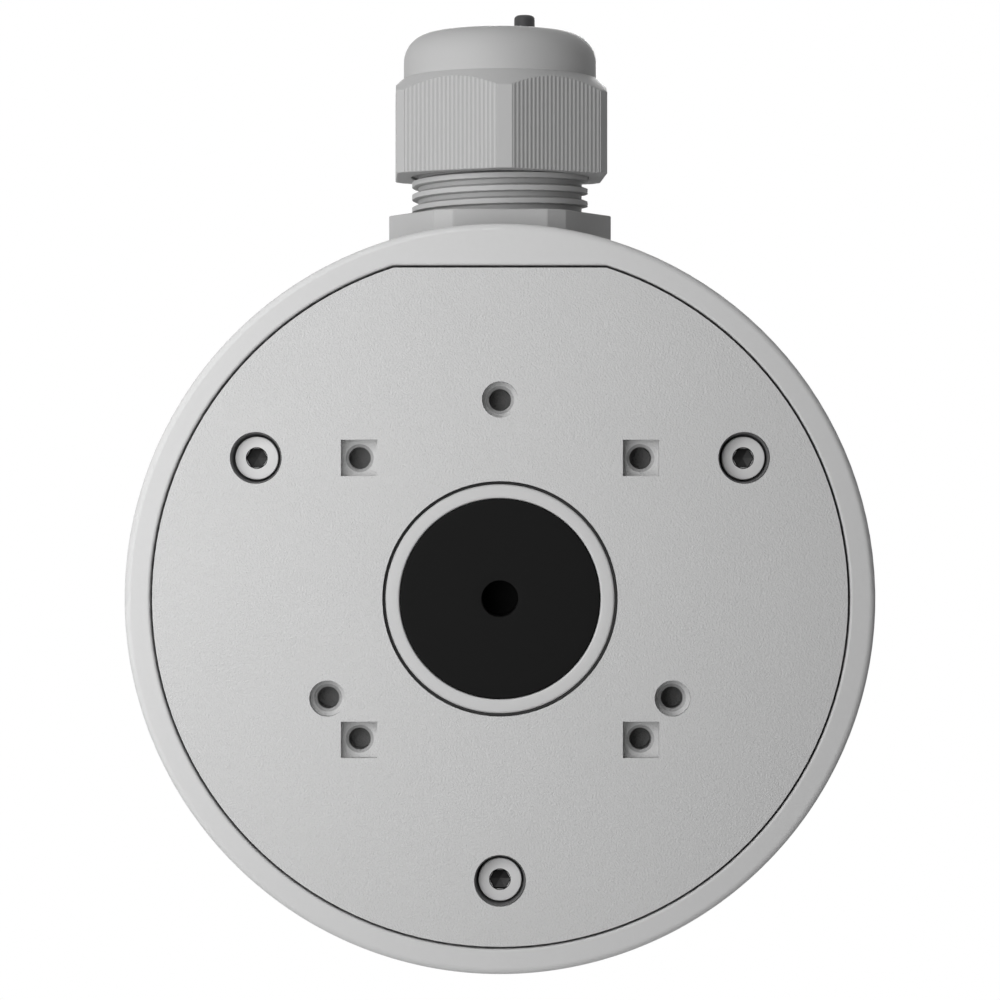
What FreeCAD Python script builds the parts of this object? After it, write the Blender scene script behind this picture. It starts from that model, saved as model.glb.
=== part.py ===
"""Camera junction box: a round die-cast box with a screwed cover and a ribbed cable gland on top.

Millimetres. The box hangs on a wall: the wall is the plane y = 0, the cover looks along -Y and
the gland stands up along +Z. The origin is where the axis of the round box meets the wall.
Depths named *_depth on the cover are measured back from its front face.
"""

import FreeCAD
import Part

import math
import os

# Box casting
box_radius = 50.0
box_depth = 43.2
floor_thickness = 4.0
rim_width = 3.4
rim_width_at_top = 5.61
ledge_width = 3.1
ledge_width_at_top = 4.89
cavity_corner_radius = 4.0
front_outer_fillet = 0.9
rear_outer_fillet = 0.5
rim_inner_fillet = 0.35

# Cover plate and the recess that takes it
cover_corner_radius = 1.0
cover_gap = 0.34
cover_thickness = 4.5
cover_seal_thickness = 1.0
cover_seal_width = 2.0
cover_spigot_gap = 0.3
cover_spigot_wall = 2.0
cover_spigot_height = 2.6
cover_rib_width = 1.8
cover_rib_count = 6

# Cover screws, three of them, captive in the cover
screw_inset = 6.0
screw_first_angle = 30.0
screw_count = 3
screw_head_radius = 2.87
screw_head_height = 3.0
screw_head_depth = 2.06
screw_thread_radius = 1.5
screw_length = 12.0
screw_chamfer = 0.3
socket_across_flats = 2.5
socket_depth = 1.6
counterbore_radius = 3.45
screw_hole_clearance = 0.2
tapped_clearance = 0.06
screw_boss_radius = 5.5
screw_boss_web = 7.0
screw_hole_spare = 3.0
cover_boss_radius = 5.6
cover_boss_web = 2.1
screw_travel = 4.5
screw_seal_base = 0.44
screw_seal_clearance = 0.07
screw_seal_below_head = 0.45
clip_thickness = 0.8
clip_radius = 2.9
clip_gap = 0.3

# Camera fixing holes in the cover: four in a square and three between them, all on one circle
fixing_circle_share = 0.5303
circle_first_angle = 90.0
circle_count = 3
recess_side = 4.84
recess_radius = 2.41
recess_depth = 2.4
fixing_hole_radius = 1.46
fixing_chamfer = 0.4
fixing_hole_depth = 7.4
fixing_ring_wall = 1.4
fixing_ring_margin = 3.2

# Cable opening in the middle of the cover
collar_hole_radius = 15.67
collar_seat_depth = 4.4
collar_hub_wall = 3.33
collar_head_gap = 0.42
collar_head_rim = 1.85
collar_set_back = 0.3
collar_edge_chamfer = 0.35
collar_pocket_depth = 2.1
collar_barrel_step = 0.4
collar_barrel_wall = 2.2
collar_barrel_clearance = 0.1
collar_seal_thickness = 0.8
collar_nut_width = 4.5
collar_nut_thickness = 3.0
collar_nut_notches = 6
collar_nut_notch_width = 3.0
collar_nut_notch_depth = 1.2
collar_barrel_spare = 1.6
plug_clearance = 0.1
plug_set_back = 0.1
plug_wall = 2.0
plug_hole_radius = 2.445
plug_neck_radius = 4.6
plug_neck_length = 8.0
plug_membrane = 0.6
plug_lip_height = 1.6
plug_lip_over = 0.9

# Wall side
wall_hole_pitch_x = 32.0
wall_hole_pitch_z = 54.0
wall_hole_radius = 2.4
wall_boss_radius = 4.6
wall_boss_height = 1.5
wall_pad_radius = 6.5
rear_entry_radius = 11.25
rear_entry_rim = 2.6
rear_relief_depth = 1.4
rear_rim_width = 4.0
rear_rib_width = 3.0

# Earth terminal on the floor of the box
earth_inset = 13.5
earth_z = -8.0
earth_boss_radius = 4.4
earth_boss_height = 5.0
earth_thread_radius = 2.0
earth_thread_length = 7.0
earth_head_radius = 3.8
earth_head_height = 2.4
earth_slot_width = 1.0
earth_slot_depth = 1.2
earth_washer_radius = 4.3
earth_washer_thickness = 0.8
earth_clearance = 0.1
earth_hole_spare = 0.6

# Gland: seat, entry thread and hexagon flange
seat_sink = 3.3
seat_margin = 1.05
entry_thread_radius = 12.4
entry_clearance = 0.1
entry_end_gap = 0.2
entry_end_chamfer = 0.8
gland_washer_thickness = 0.8
gland_washer_margin = 0.1
flange_margin = 1.6
flange_corner_cut = 0.816
flange_height = 5.0
flange_chamfer = 0.4
passage_step = 1.0

# Gland: nut thread
thread_radius = 12.2
thread_depth = 1.0
thread_pitch = 1.75
thread_crest_width = 0.68
thread_root_width = 1.3
thread_height = 11.8
thread_top_chamfer = 0.8
thread_phase_height = 1.71
thread_overcut = 0.05
cage_bore_wall = 1.6
cage_bore_length = 8.3

# Gland: ribbed hexagon nut with its dome
nut_gap = 5.35
nut_turned = 2.15
nut_wall = 2.05
nut_corner_cut = 0.585
nut_hex_height = 13.85
nut_chamfer_slope = 41.5
nut_chamfer_inset = 0.15
nut_rib_count = 21
nut_rib_height = 0.28
nut_rib_margin = 0.35
nut_rib_share = 0.52
dome_wall = 0.95
dome_fillet = 4.0
nut_thread_clearance = 0.2
dome_bore_step = 0.7
dome_bore_length = 3.4
dome_cone_height = 3.8
dome_cone_inset = 2.9
dome_lip = 0.9

# Gland: slotted clamping cage, rubber insert and blanking pin, which travel with the nut
nut_travel_down = 3.5
cage_stand_off = 0.4
cage_ring_height = 1.2
cage_shoulder_gap = 0.3
cage_side_gap = 0.45
cage_spigot_clearance = 0.15
cage_spigot_length = 7.0
cage_wall = 1.3
finger_gap = 0.4
finger_thickness = 1.6
finger_tip_height = 1.4
finger_tip_inset = 1.4
finger_count = 12
finger_slot_width = 0.9
insert_clearance = 0.05
insert_top_below = 1.5
insert_top_gap = 0.9
pin_offset = 3.4
pin_radius = 1.43
pin_above_dome = 2.65
pin_edge_rounding = 0.57
pin_below_insert = 1.5
cable_hole_offset = 3.0
cable_hole_radius = 2.4

# Places worked out from the sizes above
front = -box_depth
gland_y = -box_depth / 2
mouth_radius = box_radius - rim_width
mouth_flat_height = box_radius - rim_width_at_top
cavity_radius = mouth_radius - ledge_width
cavity_flat_height = mouth_flat_height - ledge_width_at_top
cover_radius = mouth_radius - cover_gap
cover_flat_height = mouth_flat_height - cover_gap
screw_circle_radius = cavity_radius - screw_inset
rear_relief_outer = box_radius - rear_rim_width
earth_x = earth_inset - cavity_radius
fixing_circle_radius = box_radius * fixing_circle_share
square_pitch = fixing_circle_radius * math.sqrt(2)
seat_height = box_radius - seat_sink
ledge_depth = cover_thickness + cover_seal_thickness
counterbore_depth = screw_head_depth + screw_head_height + screw_seal_base
cover_boss_depth = counterbore_depth + cover_boss_web
clip_rest_depth = cover_boss_depth + screw_travel + clip_gap
boss_top_depth = clip_rest_depth + clip_thickness + clip_gap
screw_tip_depth = screw_head_depth + screw_head_height + screw_length
fixing_ring_depth = fixing_hole_depth + fixing_ring_wall
collar_hub_radius = collar_hole_radius + collar_hub_wall
collar_hub_depth = fixing_ring_depth
collar_head_radius = collar_hole_radius - collar_head_gap
collar_pocket_radius = collar_head_radius - collar_head_rim
collar_barrel_radius = collar_pocket_radius - collar_barrel_step
collar_bore_radius = collar_barrel_radius - collar_barrel_wall
collar_nut_radius = collar_barrel_radius + collar_nut_width
collar_barrel_end = collar_hub_depth + collar_nut_thickness + collar_barrel_spare
flange_across_flats = 2 * (entry_thread_radius + flange_margin)
flange_corner_distance = flange_across_flats / math.sqrt(3) - flange_corner_cut
seat_radius = flange_corner_distance + seat_margin
gland_washer_radius = flange_across_flats / 2 - gland_washer_margin
thread_root_radius = thread_radius - thread_depth
cage_bore_radius = thread_root_radius - cage_bore_wall
passage_radius = cage_bore_radius - passage_step
nut_bore_radius = thread_radius + nut_thread_clearance
nut_across_flats = 2 * (nut_bore_radius + nut_wall)
nut_corner_distance = nut_across_flats / math.sqrt(3) - nut_corner_cut
dome_radius = nut_bore_radius + dome_wall
dome_bore_radius = nut_bore_radius - dome_bore_step
dome_opening_radius = dome_bore_radius - dome_cone_inset
nut_chamfer_start = dome_radius - nut_chamfer_inset
insert_top_radius = dome_opening_radius - insert_top_gap
flange_bottom = seat_height + gland_washer_thickness
flange_top = flange_bottom + flange_height
thread_top = flange_top + thread_height
nut_bottom = flange_top + nut_gap
nut_hex_top = nut_bottom + nut_hex_height
cage_ring_bottom = thread_top + nut_travel_down + cage_stand_off
cage_ring_top = cage_ring_bottom + cage_ring_height
nut_bore_top = cage_ring_top + cage_shoulder_gap
nut_cone_bottom = nut_bore_top + dome_bore_length
nut_cone_top = nut_cone_bottom + dome_cone_height
nut_top = nut_cone_top + dome_lip
finger_radius = dome_bore_radius - finger_gap
finger_tip_base = nut_cone_bottom - finger_gap
finger_top = finger_tip_base + finger_tip_height
insert_top = nut_top - insert_top_below
Y_AXIS = FreeCAD.Vector(0, 1, 0)
Z_AXIS = FreeCAD.Vector(0, 0, 1)


def behind(depth):
    """The y of a plane that lies this far behind the front face."""
    return front + depth


def rod_y(x, z, radius, y_low, y_high):
    """A cylinder along Y."""
    return Part.makeCylinder(radius, y_high - y_low, FreeCAD.Vector(x, y_low, z), Y_AXIS)


def ring_y(x, z, outer, inner, y_low, y_high):
    """A plain ring along Y."""
    return rod_y(x, z, outer, y_low, y_high).cut(rod_y(x, z, inner, y_low - 1, y_high + 1))


def rod_z(x, y, radius, z_low, z_high):
    """A cylinder along Z."""
    return Part.makeCylinder(radius, z_high - z_low, FreeCAD.Vector(x, y, z_low), Z_AXIS)


def cone_y(x, z, radius_low, radius_high, y_low, y_high):
    """A cone along Y with these radii at its two ends."""
    base = FreeCAD.Vector(x, y_low, z)
    return Part.makeCone(radius_low, radius_high, y_high - y_low, base, Y_AXIS)


def block(x_low, x_high, y_low, y_high, z_low, z_high):
    """A block between these limits."""
    corner = FreeCAD.Vector(x_low, y_low, z_low)
    return Part.makeBox(x_high - x_low, y_high - y_low, z_high - z_low, corner)


def turned_z(profile, x=0.0, y=gland_y):
    """A solid turned about a vertical axis from (radius, height) points."""
    points = [FreeCAD.Vector(x + radius, y, height) for radius, height in profile]
    face = Part.Face(Part.makePolygon(points + points[:1]))
    return face.revolve(FreeCAD.Vector(x, y, 0), Z_AXIS, 360)


def turned_y(profile, x=0.0, z=0.0):
    """A solid turned about an axis along Y from (radius, y) points."""
    points = [FreeCAD.Vector(x + radius, y, z) for radius, y in profile]
    face = Part.Face(Part.makePolygon(points + points[:1]))
    return face.revolve(FreeCAD.Vector(x, 0, z), Y_AXIS, 360)


def on_circle(radius, degrees):
    """The x and z of a point on a circle about the box axis."""
    angle = math.radians(degrees)
    return radius * math.cos(angle), radius * math.sin(angle)


def screw_places():
    """The x and z of each cover screw."""
    step = 360.0 / screw_count
    angles = [screw_first_angle + step * number for number in range(screw_count)]
    return [on_circle(screw_circle_radius, angle) for angle in angles]


def square_places():
    """The x and z of the four fixing holes in square recesses."""
    half = square_pitch / 2
    return [(x, z) for x in (-half, half) for z in (-half, half)]


def circle_places():
    """The x and z of the fixing holes in round recesses."""
    step = 360.0 / circle_count
    angles = [circle_first_angle + step * number for number in range(circle_count)]
    return [on_circle(fixing_circle_radius, angle) for angle in angles]


def wall_hole_places():
    """The x and z of the four wall screw holes."""
    half_x = wall_hole_pitch_x / 2
    half_z = wall_hole_pitch_z / 2
    return [(x, z) for x in (-half_x, half_x) for z in (-half_z, half_z)]


def flat_topped_disc(radius, flat_height, corner_radius, y_low, y_high):
    """A disc along Y whose top is cut off flat, with its two corners rounded."""
    disc = rod_y(0, 0, radius, y_low, y_high)
    above = block(-radius, radius, y_low - 1, y_high + 1, flat_height, radius + 1)
    disc = disc.cut(above)
    if corner_radius <= 0:
        return disc
    corners = [edge for edge in disc.Edges if is_corner(edge, flat_height, y_high - y_low)]
    return disc.makeFillet(corner_radius, corners)


def is_corner(edge, flat_height, length):
    """Whether an edge is one of the two straight corners of a flat-topped disc."""
    box = edge.BoundBox
    level = abs(box.ZMax - flat_height) < 1e-6 and box.ZLength < 1e-6
    return level and box.XLength < 1e-6 and abs(box.YLength - length) < 1e-6


def hexagon(across_flats, corner_distance, z_low, z_high, degrees):
    """A vertical hexagonal prism on the gland axis with its corners cut flat."""
    corner = across_flats / math.sqrt(3)
    sides = [math.radians(degrees + 60 * number) for number in range(7)]
    points = [FreeCAD.Vector(corner * math.cos(a), corner * math.sin(a), 0) for a in sides]
    prism = Part.Face(Part.makePolygon(points)).extrude(Z_AXIS * (z_high - z_low))
    for angle in sides[:6]:
        cutter = Part.makeBox(corner, corner * 2, z_high - z_low + 2)
        cutter.translate(FreeCAD.Vector(corner_distance, -corner, -1))
        cutter.rotate(FreeCAD.Vector(0, 0, 0), Z_AXIS, math.degrees(angle))
        prism = prism.cut(cutter)
    prism.translate(FreeCAD.Vector(0, gland_y, z_low))
    return prism


def make_box_shell():
    """The round casting with its cover recess and cavity."""
    shell = rod_y(0, 0, box_radius, front, 0)
    front_edge = [edge for edge in shell.Edges if abs(edge.BoundBox.YMax - front) < 1e-6]
    shell = shell.makeFillet(front_outer_fillet, front_edge)
    rear_edge = [edge for edge in shell.Edges if abs(edge.BoundBox.YMin) < 1e-6]
    shell = shell.makeFillet(rear_outer_fillet, rear_edge)
    mouth_corner = cover_corner_radius + cover_gap
    recess = flat_topped_disc(
        mouth_radius, mouth_flat_height, mouth_corner, front - 1, behind(ledge_depth)
    )
    shell = shell.cut(recess)
    lip = [edge for edge in shell.Edges if is_lip(edge)]
    shell = shell.makeFillet(rim_inner_fillet, lip)
    cavity = flat_topped_disc(
        cavity_radius, cavity_flat_height, cavity_corner_radius, front, -floor_thickness
    )
    return shell.cut(cavity)


def is_lip(edge):
    """Whether an edge runs round the mouth of the cover recess."""
    box = edge.BoundBox
    on_front = abs(box.YMin - front) < 1e-6 and abs(box.YMax - front) < 1e-6
    return on_front and box.ZMax < mouth_flat_height + 1e-3


def make_box_body():
    """The whole casting: shell, screw bosses, wall side, earth boss and gland seat."""
    body = make_box_shell()
    inner = -floor_thickness
    for x, z in screw_places():
        boss = rod_y(x, z, screw_boss_radius, behind(boss_top_depth), inner)
        reach = (cavity_radius + 1) / screw_circle_radius
        web = block(0, 1, behind(boss_top_depth), inner, -screw_boss_web / 2, screw_boss_web / 2)
        web = stretch_web(web, x, z, reach)
        body = body.fuse([boss, web])
    for x, z in wall_hole_places():
        body = body.fuse(rod_y(x, z, wall_boss_radius, inner - wall_boss_height, inner))
    earth_top = inner - earth_boss_height
    body = body.fuse(rod_y(earth_x, earth_z, earth_boss_radius, earth_top, inner))
    entry_rim = rear_entry_radius + rear_entry_rim
    body = body.fuse(rod_y(0, 0, entry_rim, inner - wall_boss_height, inner))
    body = body.cut(make_rear_relief(entry_rim))
    for x, z in screw_places():
        bottom = behind(screw_tip_depth + screw_hole_spare)
        hole = screw_thread_radius + tapped_clearance
        body = body.cut(rod_y(x, z, hole, behind(boss_top_depth) - 1, bottom))
    for x, z in wall_hole_places():
        body = body.cut(rod_y(x, z, wall_hole_radius, inner - wall_boss_height - 1, 1))
    body = body.cut(rod_y(0, 0, rear_entry_radius, inner - wall_boss_height - 1, 1))
    earth_bottom = earth_top + earth_thread_length - earth_washer_thickness + earth_hole_spare
    earth_hole = earth_thread_radius + earth_clearance
    body = body.cut(rod_y(earth_x, earth_z, earth_hole, earth_top - 1, earth_bottom))
    body = body.cut(rod_z(0, gland_y, seat_radius, seat_height, box_radius + 1))
    entry_hole = entry_thread_radius + entry_clearance
    body = body.cut(rod_z(0, gland_y, entry_hole, cavity_flat_height - 2, box_radius + 1))
    return body.removeSplitter()


def stretch_web(web, x, z, reach):
    """The web that joins a screw boss to the side wall, along the radius through x, z."""
    length = screw_circle_radius * (reach - 1)
    matrix = FreeCAD.Matrix()
    matrix.scale(length, 1, 1)
    web = web.transformGeometry(matrix)
    web.translate(FreeCAD.Vector(screw_circle_radius, 0, 0))
    web.rotate(FreeCAD.Vector(0, 0, 0), Y_AXIS, -math.degrees(math.atan2(z, x)))
    return web


def make_rear_relief(entry_rim):
    """The shallow relief in the back, which leaves a rim, pads and ribs to lie on the wall."""
    relief = ring_y(0, 0, rear_relief_outer, entry_rim, -rear_relief_depth, 1)
    for x, z in wall_hole_places():
        relief = relief.cut(rod_y(x, z, wall_pad_radius, -rear_relief_depth - 1, 2))
    half = rear_rib_width / 2
    for degrees in (0, 90):
        rib = block(-box_radius, box_radius, -rear_relief_depth - 1, 2, -half, half)
        rib.rotate(FreeCAD.Vector(0, 0, 0), Y_AXIS, degrees)
        relief = relief.cut(rib)
    return relief


def make_front_cover():
    """The cover plate with its spigot, ribs, screw bosses, fixing holes and hub."""
    cover = flat_topped_disc(
        cover_radius, cover_flat_height, cover_corner_radius, front, behind(cover_thickness)
    )
    back = behind(cover_thickness)
    spigot_end = back + cover_spigot_height
    spigot_radius = cavity_radius - cover_spigot_gap
    spigot_flat = cavity_flat_height - cover_spigot_gap
    spigot = flat_topped_disc(spigot_radius, spigot_flat, cavity_corner_radius, back, spigot_end)
    hollow = flat_topped_disc(
        spigot_radius - cover_spigot_wall,
        spigot_flat - cover_spigot_wall,
        cavity_corner_radius - cover_spigot_wall,
        back,
        spigot_end + 1,
    )
    cover = cover.fuse(spigot.cut(hollow))
    ring_outer = fixing_circle_radius + fixing_hole_radius + fixing_ring_margin
    ring_inner = fixing_circle_radius - fixing_hole_radius - fixing_ring_margin
    cover = cover.fuse(ring_y(0, 0, ring_outer, ring_inner, back - 1, behind(fixing_ring_depth)))
    cover = cover.fuse(rod_y(0, 0, collar_hub_radius, back - 1, behind(collar_hub_depth)))
    for x, z in screw_places():
        cover = cover.fuse(rod_y(x, z, cover_boss_radius, back - 1, behind(cover_boss_depth)))
    half = cover_rib_width / 2
    hub_to_spigot = spigot_radius - cover_spigot_wall / 2
    for number in range(cover_rib_count):
        degrees = screw_first_angle + 360.0 / cover_rib_count * number
        length = min(hub_to_spigot, spigot_reach(degrees, spigot_flat))
        rib = block(collar_hub_radius - 1, length, back - 1, spigot_end, -half, half)
        rib.rotate(FreeCAD.Vector(0, 0, 0), Y_AXIS, -degrees)
        cover = cover.fuse(rib)
    for x, z in screw_places():
        cover = cover.cut(rod_y(x, z, counterbore_radius, front - 1, behind(counterbore_depth)))
        hole = screw_thread_radius + screw_hole_clearance
        cover = cover.cut(rod_y(x, z, hole, front, behind(cover_boss_depth) + 1))
    for x, z in square_places():
        side = recess_side / 2
        recess = block(x - side, x + side, front - 1, behind(recess_depth), z - side, z + side)
        cover = cover.cut(recess.fuse(fixing_hole(x, z)))
    for x, z in circle_places():
        recess = rod_y(x, z, recess_radius, front - 1, behind(recess_depth))
        cover = cover.cut(recess.fuse(fixing_hole(x, z)))
    cover = cover.cut(rod_y(0, 0, collar_hole_radius, front - 1, behind(collar_seat_depth)))
    barrel_hole = collar_barrel_radius + collar_barrel_clearance
    cover = cover.cut(rod_y(0, 0, barrel_hole, front, behind(collar_hub_depth) + 1))
    return cover.removeSplitter()


def spigot_reach(degrees, spigot_flat):
    """How far a radial rib at this angle may go before it meets the middle of the flat side."""
    rise = math.sin(math.radians(degrees))
    if rise <= 0:
        return box_radius
    return (spigot_flat - cover_spigot_wall / 2) / rise


def fixing_hole(x, z):
    """A blind screw hole with its countersunk mouth, below the floor of its recess."""
    hole = rod_y(x, z, fixing_hole_radius, behind(recess_depth) - 1, behind(fixing_hole_depth))
    mouth = fixing_hole_radius + fixing_chamfer
    floor = behind(recess_depth)
    chamfer = cone_y(x, z, mouth, fixing_hole_radius, floor, floor + fixing_chamfer)
    return hole.fuse(chamfer)


def make_cover_seal():
    """The flat rubber ring between the cover and the ledge of the box."""
    low = behind(cover_thickness)
    high = behind(ledge_depth)
    corner = cover_corner_radius
    outer = flat_topped_disc(cover_radius, cover_flat_height, corner, low, high)
    width = cover_seal_width
    inner = flat_topped_disc(
        cover_radius - width, cover_flat_height - width, corner, low - 1, high + 1
    )
    return outer.cut(inner)


def hex_socket(x, z, across_flats, y_low, y_high):
    """A hexagonal hole along Y."""
    corner = across_flats / math.sqrt(3)
    points = []
    for number in range(7):
        angle = math.radians(60 * number)
        points.append(FreeCAD.Vector(x + corner * math.cos(angle), y_low, z + corner * math.sin(angle)))
    return Part.Face(Part.makePolygon(points)).extrude(Y_AXIS * (y_high - y_low))


def make_cover_screw(x, z):
    """A socket head screw with a chamfered tip."""
    head_top = behind(screw_head_depth)
    head_bottom = head_top + screw_head_height
    tip = head_bottom + screw_length
    edge = screw_chamfer
    profile = [
        (0, head_top),
        (screw_head_radius - edge, head_top),
        (screw_head_radius, head_top + edge),
        (screw_head_radius, head_bottom),
        (screw_thread_radius, head_bottom),
        (screw_thread_radius, tip - edge),
        (screw_thread_radius - edge, tip),
        (0, tip),
    ]
    screw = turned_y([(radius, y) for radius, y in profile], x, z)
    return screw.cut(hex_socket(x, z, socket_across_flats, head_top - 1, head_top + socket_depth))


def make_screw_seal(x, z):
    """The rubber cup that lies under and round a screw head in its counterbore."""
    bottom = behind(counterbore_depth)
    top = behind(screw_head_depth + screw_seal_below_head)
    base_top = bottom - screw_seal_base + screw_seal_clearance / 2
    outer = counterbore_radius - screw_seal_clearance
    seal = rod_y(x, z, outer, top, bottom - screw_seal_clearance / 2)
    seal = seal.cut(rod_y(x, z, screw_head_radius + screw_seal_clearance, top - 1, base_top))
    return seal.cut(rod_y(x, z, screw_thread_radius + screw_seal_clearance, top, bottom + 1))


def make_screw_clip(x, z):
    """The nylon washer on the thread that keeps a loosened screw in the cover."""
    low = behind(clip_rest_depth)
    hole = screw_thread_radius + tapped_clearance
    return ring_y(x, z, clip_radius, hole, low, low + clip_thickness)


def make_cable_collar():
    """The collar in the middle of the cover: head, pocket for the plug and threaded barrel."""
    face = behind(collar_set_back)
    head_bottom = behind(collar_seat_depth - collar_seal_thickness)
    pocket_floor = face + collar_pocket_depth
    end = behind(collar_barrel_end)
    profile = [
        (collar_pocket_radius, face),
        (collar_head_radius, face),
        (collar_head_radius, head_bottom),
        (collar_barrel_radius, head_bottom),
        (collar_barrel_radius, end),
        (collar_bore_radius, end),
        (collar_bore_radius, pocket_floor),
        (collar_pocket_radius, pocket_floor),
    ]
    collar = turned_y(profile)
    rim = [edge for edge in collar.Edges if is_collar_rim(edge, face)]
    return collar.makeChamfer(collar_edge_chamfer, rim)


def is_collar_rim(edge, face):
    """Whether an edge is the outer or inner circle of the collar's front face."""
    box = edge.BoundBox
    return abs(box.YMin - face) < 1e-6 and abs(box.YMax - face) < 1e-6 and box.ZLength > 1


def make_collar_seal():
    """The flat ring under the collar's head."""
    low = behind(collar_seat_depth - collar_seal_thickness)
    inner = collar_barrel_radius + collar_barrel_clearance
    return ring_y(0, 0, collar_head_radius, inner, low, behind(collar_seat_depth))


def make_collar_nut():
    """The notched ring nut that holds the collar from behind the cover."""
    low = behind(collar_hub_depth)
    high = low + collar_nut_thickness
    inner = collar_barrel_radius + collar_barrel_clearance
    nut = ring_y(0, 0, collar_nut_radius, inner, low, high)
    half = collar_nut_notch_width / 2
    start = collar_nut_radius - collar_nut_notch_depth
    for number in range(collar_nut_notches):
        notch = block(start, collar_nut_radius + 1, low - 1, high + 1, -half, half)
        notch.rotate(FreeCAD.Vector(0, 0, 0), Y_AXIS, 360.0 / collar_nut_notches * number)
        nut = nut.cut(notch)
    return nut


def make_cable_plug():
    """The rubber plug: a disc with a skirt, a snap lip and a cable hole closed by a thin skin."""
    face = behind(collar_set_back + plug_set_back)
    floor = behind(collar_set_back + collar_pocket_depth)
    end = behind(collar_barrel_end)
    skirt = collar_bore_radius - plug_clearance
    disc = collar_pocket_radius - plug_clearance
    lip = collar_bore_radius + plug_lip_over
    neck_end = floor + plug_neck_length
    profile = [
        (plug_hole_radius, face),
        (disc, face),
        (disc, floor),
        (skirt, floor),
        (skirt, end),
        (lip, end),
        (skirt - plug_wall / 2, end + plug_lip_height),
        (skirt - plug_wall, end + plug_lip_height),
        (skirt - plug_wall, floor),
        (plug_neck_radius, floor),
        (plug_neck_radius, neck_end),
        (0, neck_end),
        (0, neck_end - plug_membrane),
        (plug_hole_radius, neck_end - plug_membrane),
    ]
    return turned_y(profile)


def make_earth_screw():
    """The slotted pan head earth screw."""
    seat = -floor_thickness - earth_boss_height - earth_washer_thickness
    top = seat - earth_head_height
    screw = rod_y(earth_x, earth_z, earth_head_radius, top, seat)
    crown = [edge for edge in screw.Edges if abs(edge.BoundBox.YMax - top) < 1e-6]
    screw = screw.makeChamfer(earth_head_height / 3, crown)
    thread = rod_y(earth_x, earth_z, earth_thread_radius, seat, seat + earth_thread_length)
    half = earth_slot_width / 2
    reach = earth_head_radius + 1
    slot = block(
        earth_x - reach, earth_x + reach, top - 1, top + earth_slot_depth, earth_z - half, earth_z + half
    )
    return screw.fuse(thread).cut(slot)


def make_earth_washer():
    """The washer under the earth screw's head."""
    high = -floor_thickness - earth_boss_height
    hole = earth_thread_radius + earth_clearance
    low = high - earth_washer_thickness
    return ring_y(earth_x, earth_z, earth_washer_radius, hole, low, high)


def make_thread():
    """The right-hand trapezoidal thread that the nut runs on, as one helical ridge."""
    start = flange_top - thread_pitch + thread_phase_height
    turns = math.ceil((thread_top - start) / thread_pitch) + 1
    helix = Part.makeHelix(thread_pitch, thread_pitch * turns, thread_root_radius)
    sunk = thread_root_radius - 0.15
    half_root = thread_root_width / 2
    half_crest = thread_crest_width / 2
    profile = [
        FreeCAD.Vector(sunk, 0, -half_root),
        FreeCAD.Vector(thread_radius + thread_overcut, 0, -half_crest),
        FreeCAD.Vector(thread_radius + thread_overcut, 0, half_crest),
        FreeCAD.Vector(sunk, 0, half_root),
    ]
    wire = Part.makePolygon(profile + profile[:1])
    ridge = Part.Wire(helix.Edges).makePipeShell([wire], True, True)
    ridge.translate(FreeCAD.Vector(0, gland_y, start))
    return ridge


def make_gland_body():
    """The gland's body: entry thread, hexagon flange, nut thread and stepped passage."""
    bottom = cavity_flat_height + entry_end_gap
    body = turned_z(
        [
            (0, bottom),
            (entry_thread_radius - entry_end_chamfer, bottom),
            (entry_thread_radius, bottom + entry_end_chamfer),
            (entry_thread_radius, flange_bottom + flange_height / 2),
            (0, flange_bottom + flange_height / 2),
        ]
    )
    flange = hexagon(flange_across_flats, flange_corner_distance, flange_bottom, flange_top, 0)
    edges = [edge for edge in flange.Edges if abs(edge.BoundBox.ZMin - flange_top) < 1e-6]
    flange = flange.makeChamfer(flange_chamfer, edges)
    core = rod_z(0, gland_y, thread_root_radius, flange_bottom + 1, thread_top)
    ridge = make_thread()
    slope = thread_top - thread_top_chamfer
    envelope = turned_z(
        [
            (0, flange_top - 1),
            (thread_radius, flange_top - 1),
            (thread_radius, slope),
            (thread_radius - thread_top_chamfer, thread_top),
            (0, thread_top),
        ]
    )
    ridge = ridge.common(envelope)
    body = body.fuse([flange, core]).fuse(ridge)
    body = body.cut(rod_z(0, gland_y, passage_radius, bottom - 1, thread_top + 1))
    cage_bore = rod_z(0, gland_y, cage_bore_radius, thread_top - cage_bore_length, thread_top + 1)
    return body.cut(cage_bore)


def make_gland_washer():
    """The flat seal between the flange and the spot face of the box."""
    inner = entry_thread_radius + entry_clearance
    washer = rod_z(0, gland_y, gland_washer_radius, seat_height, flange_bottom)
    return washer.cut(rod_z(0, gland_y, inner, seat_height - 1, flange_bottom + 1))


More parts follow.
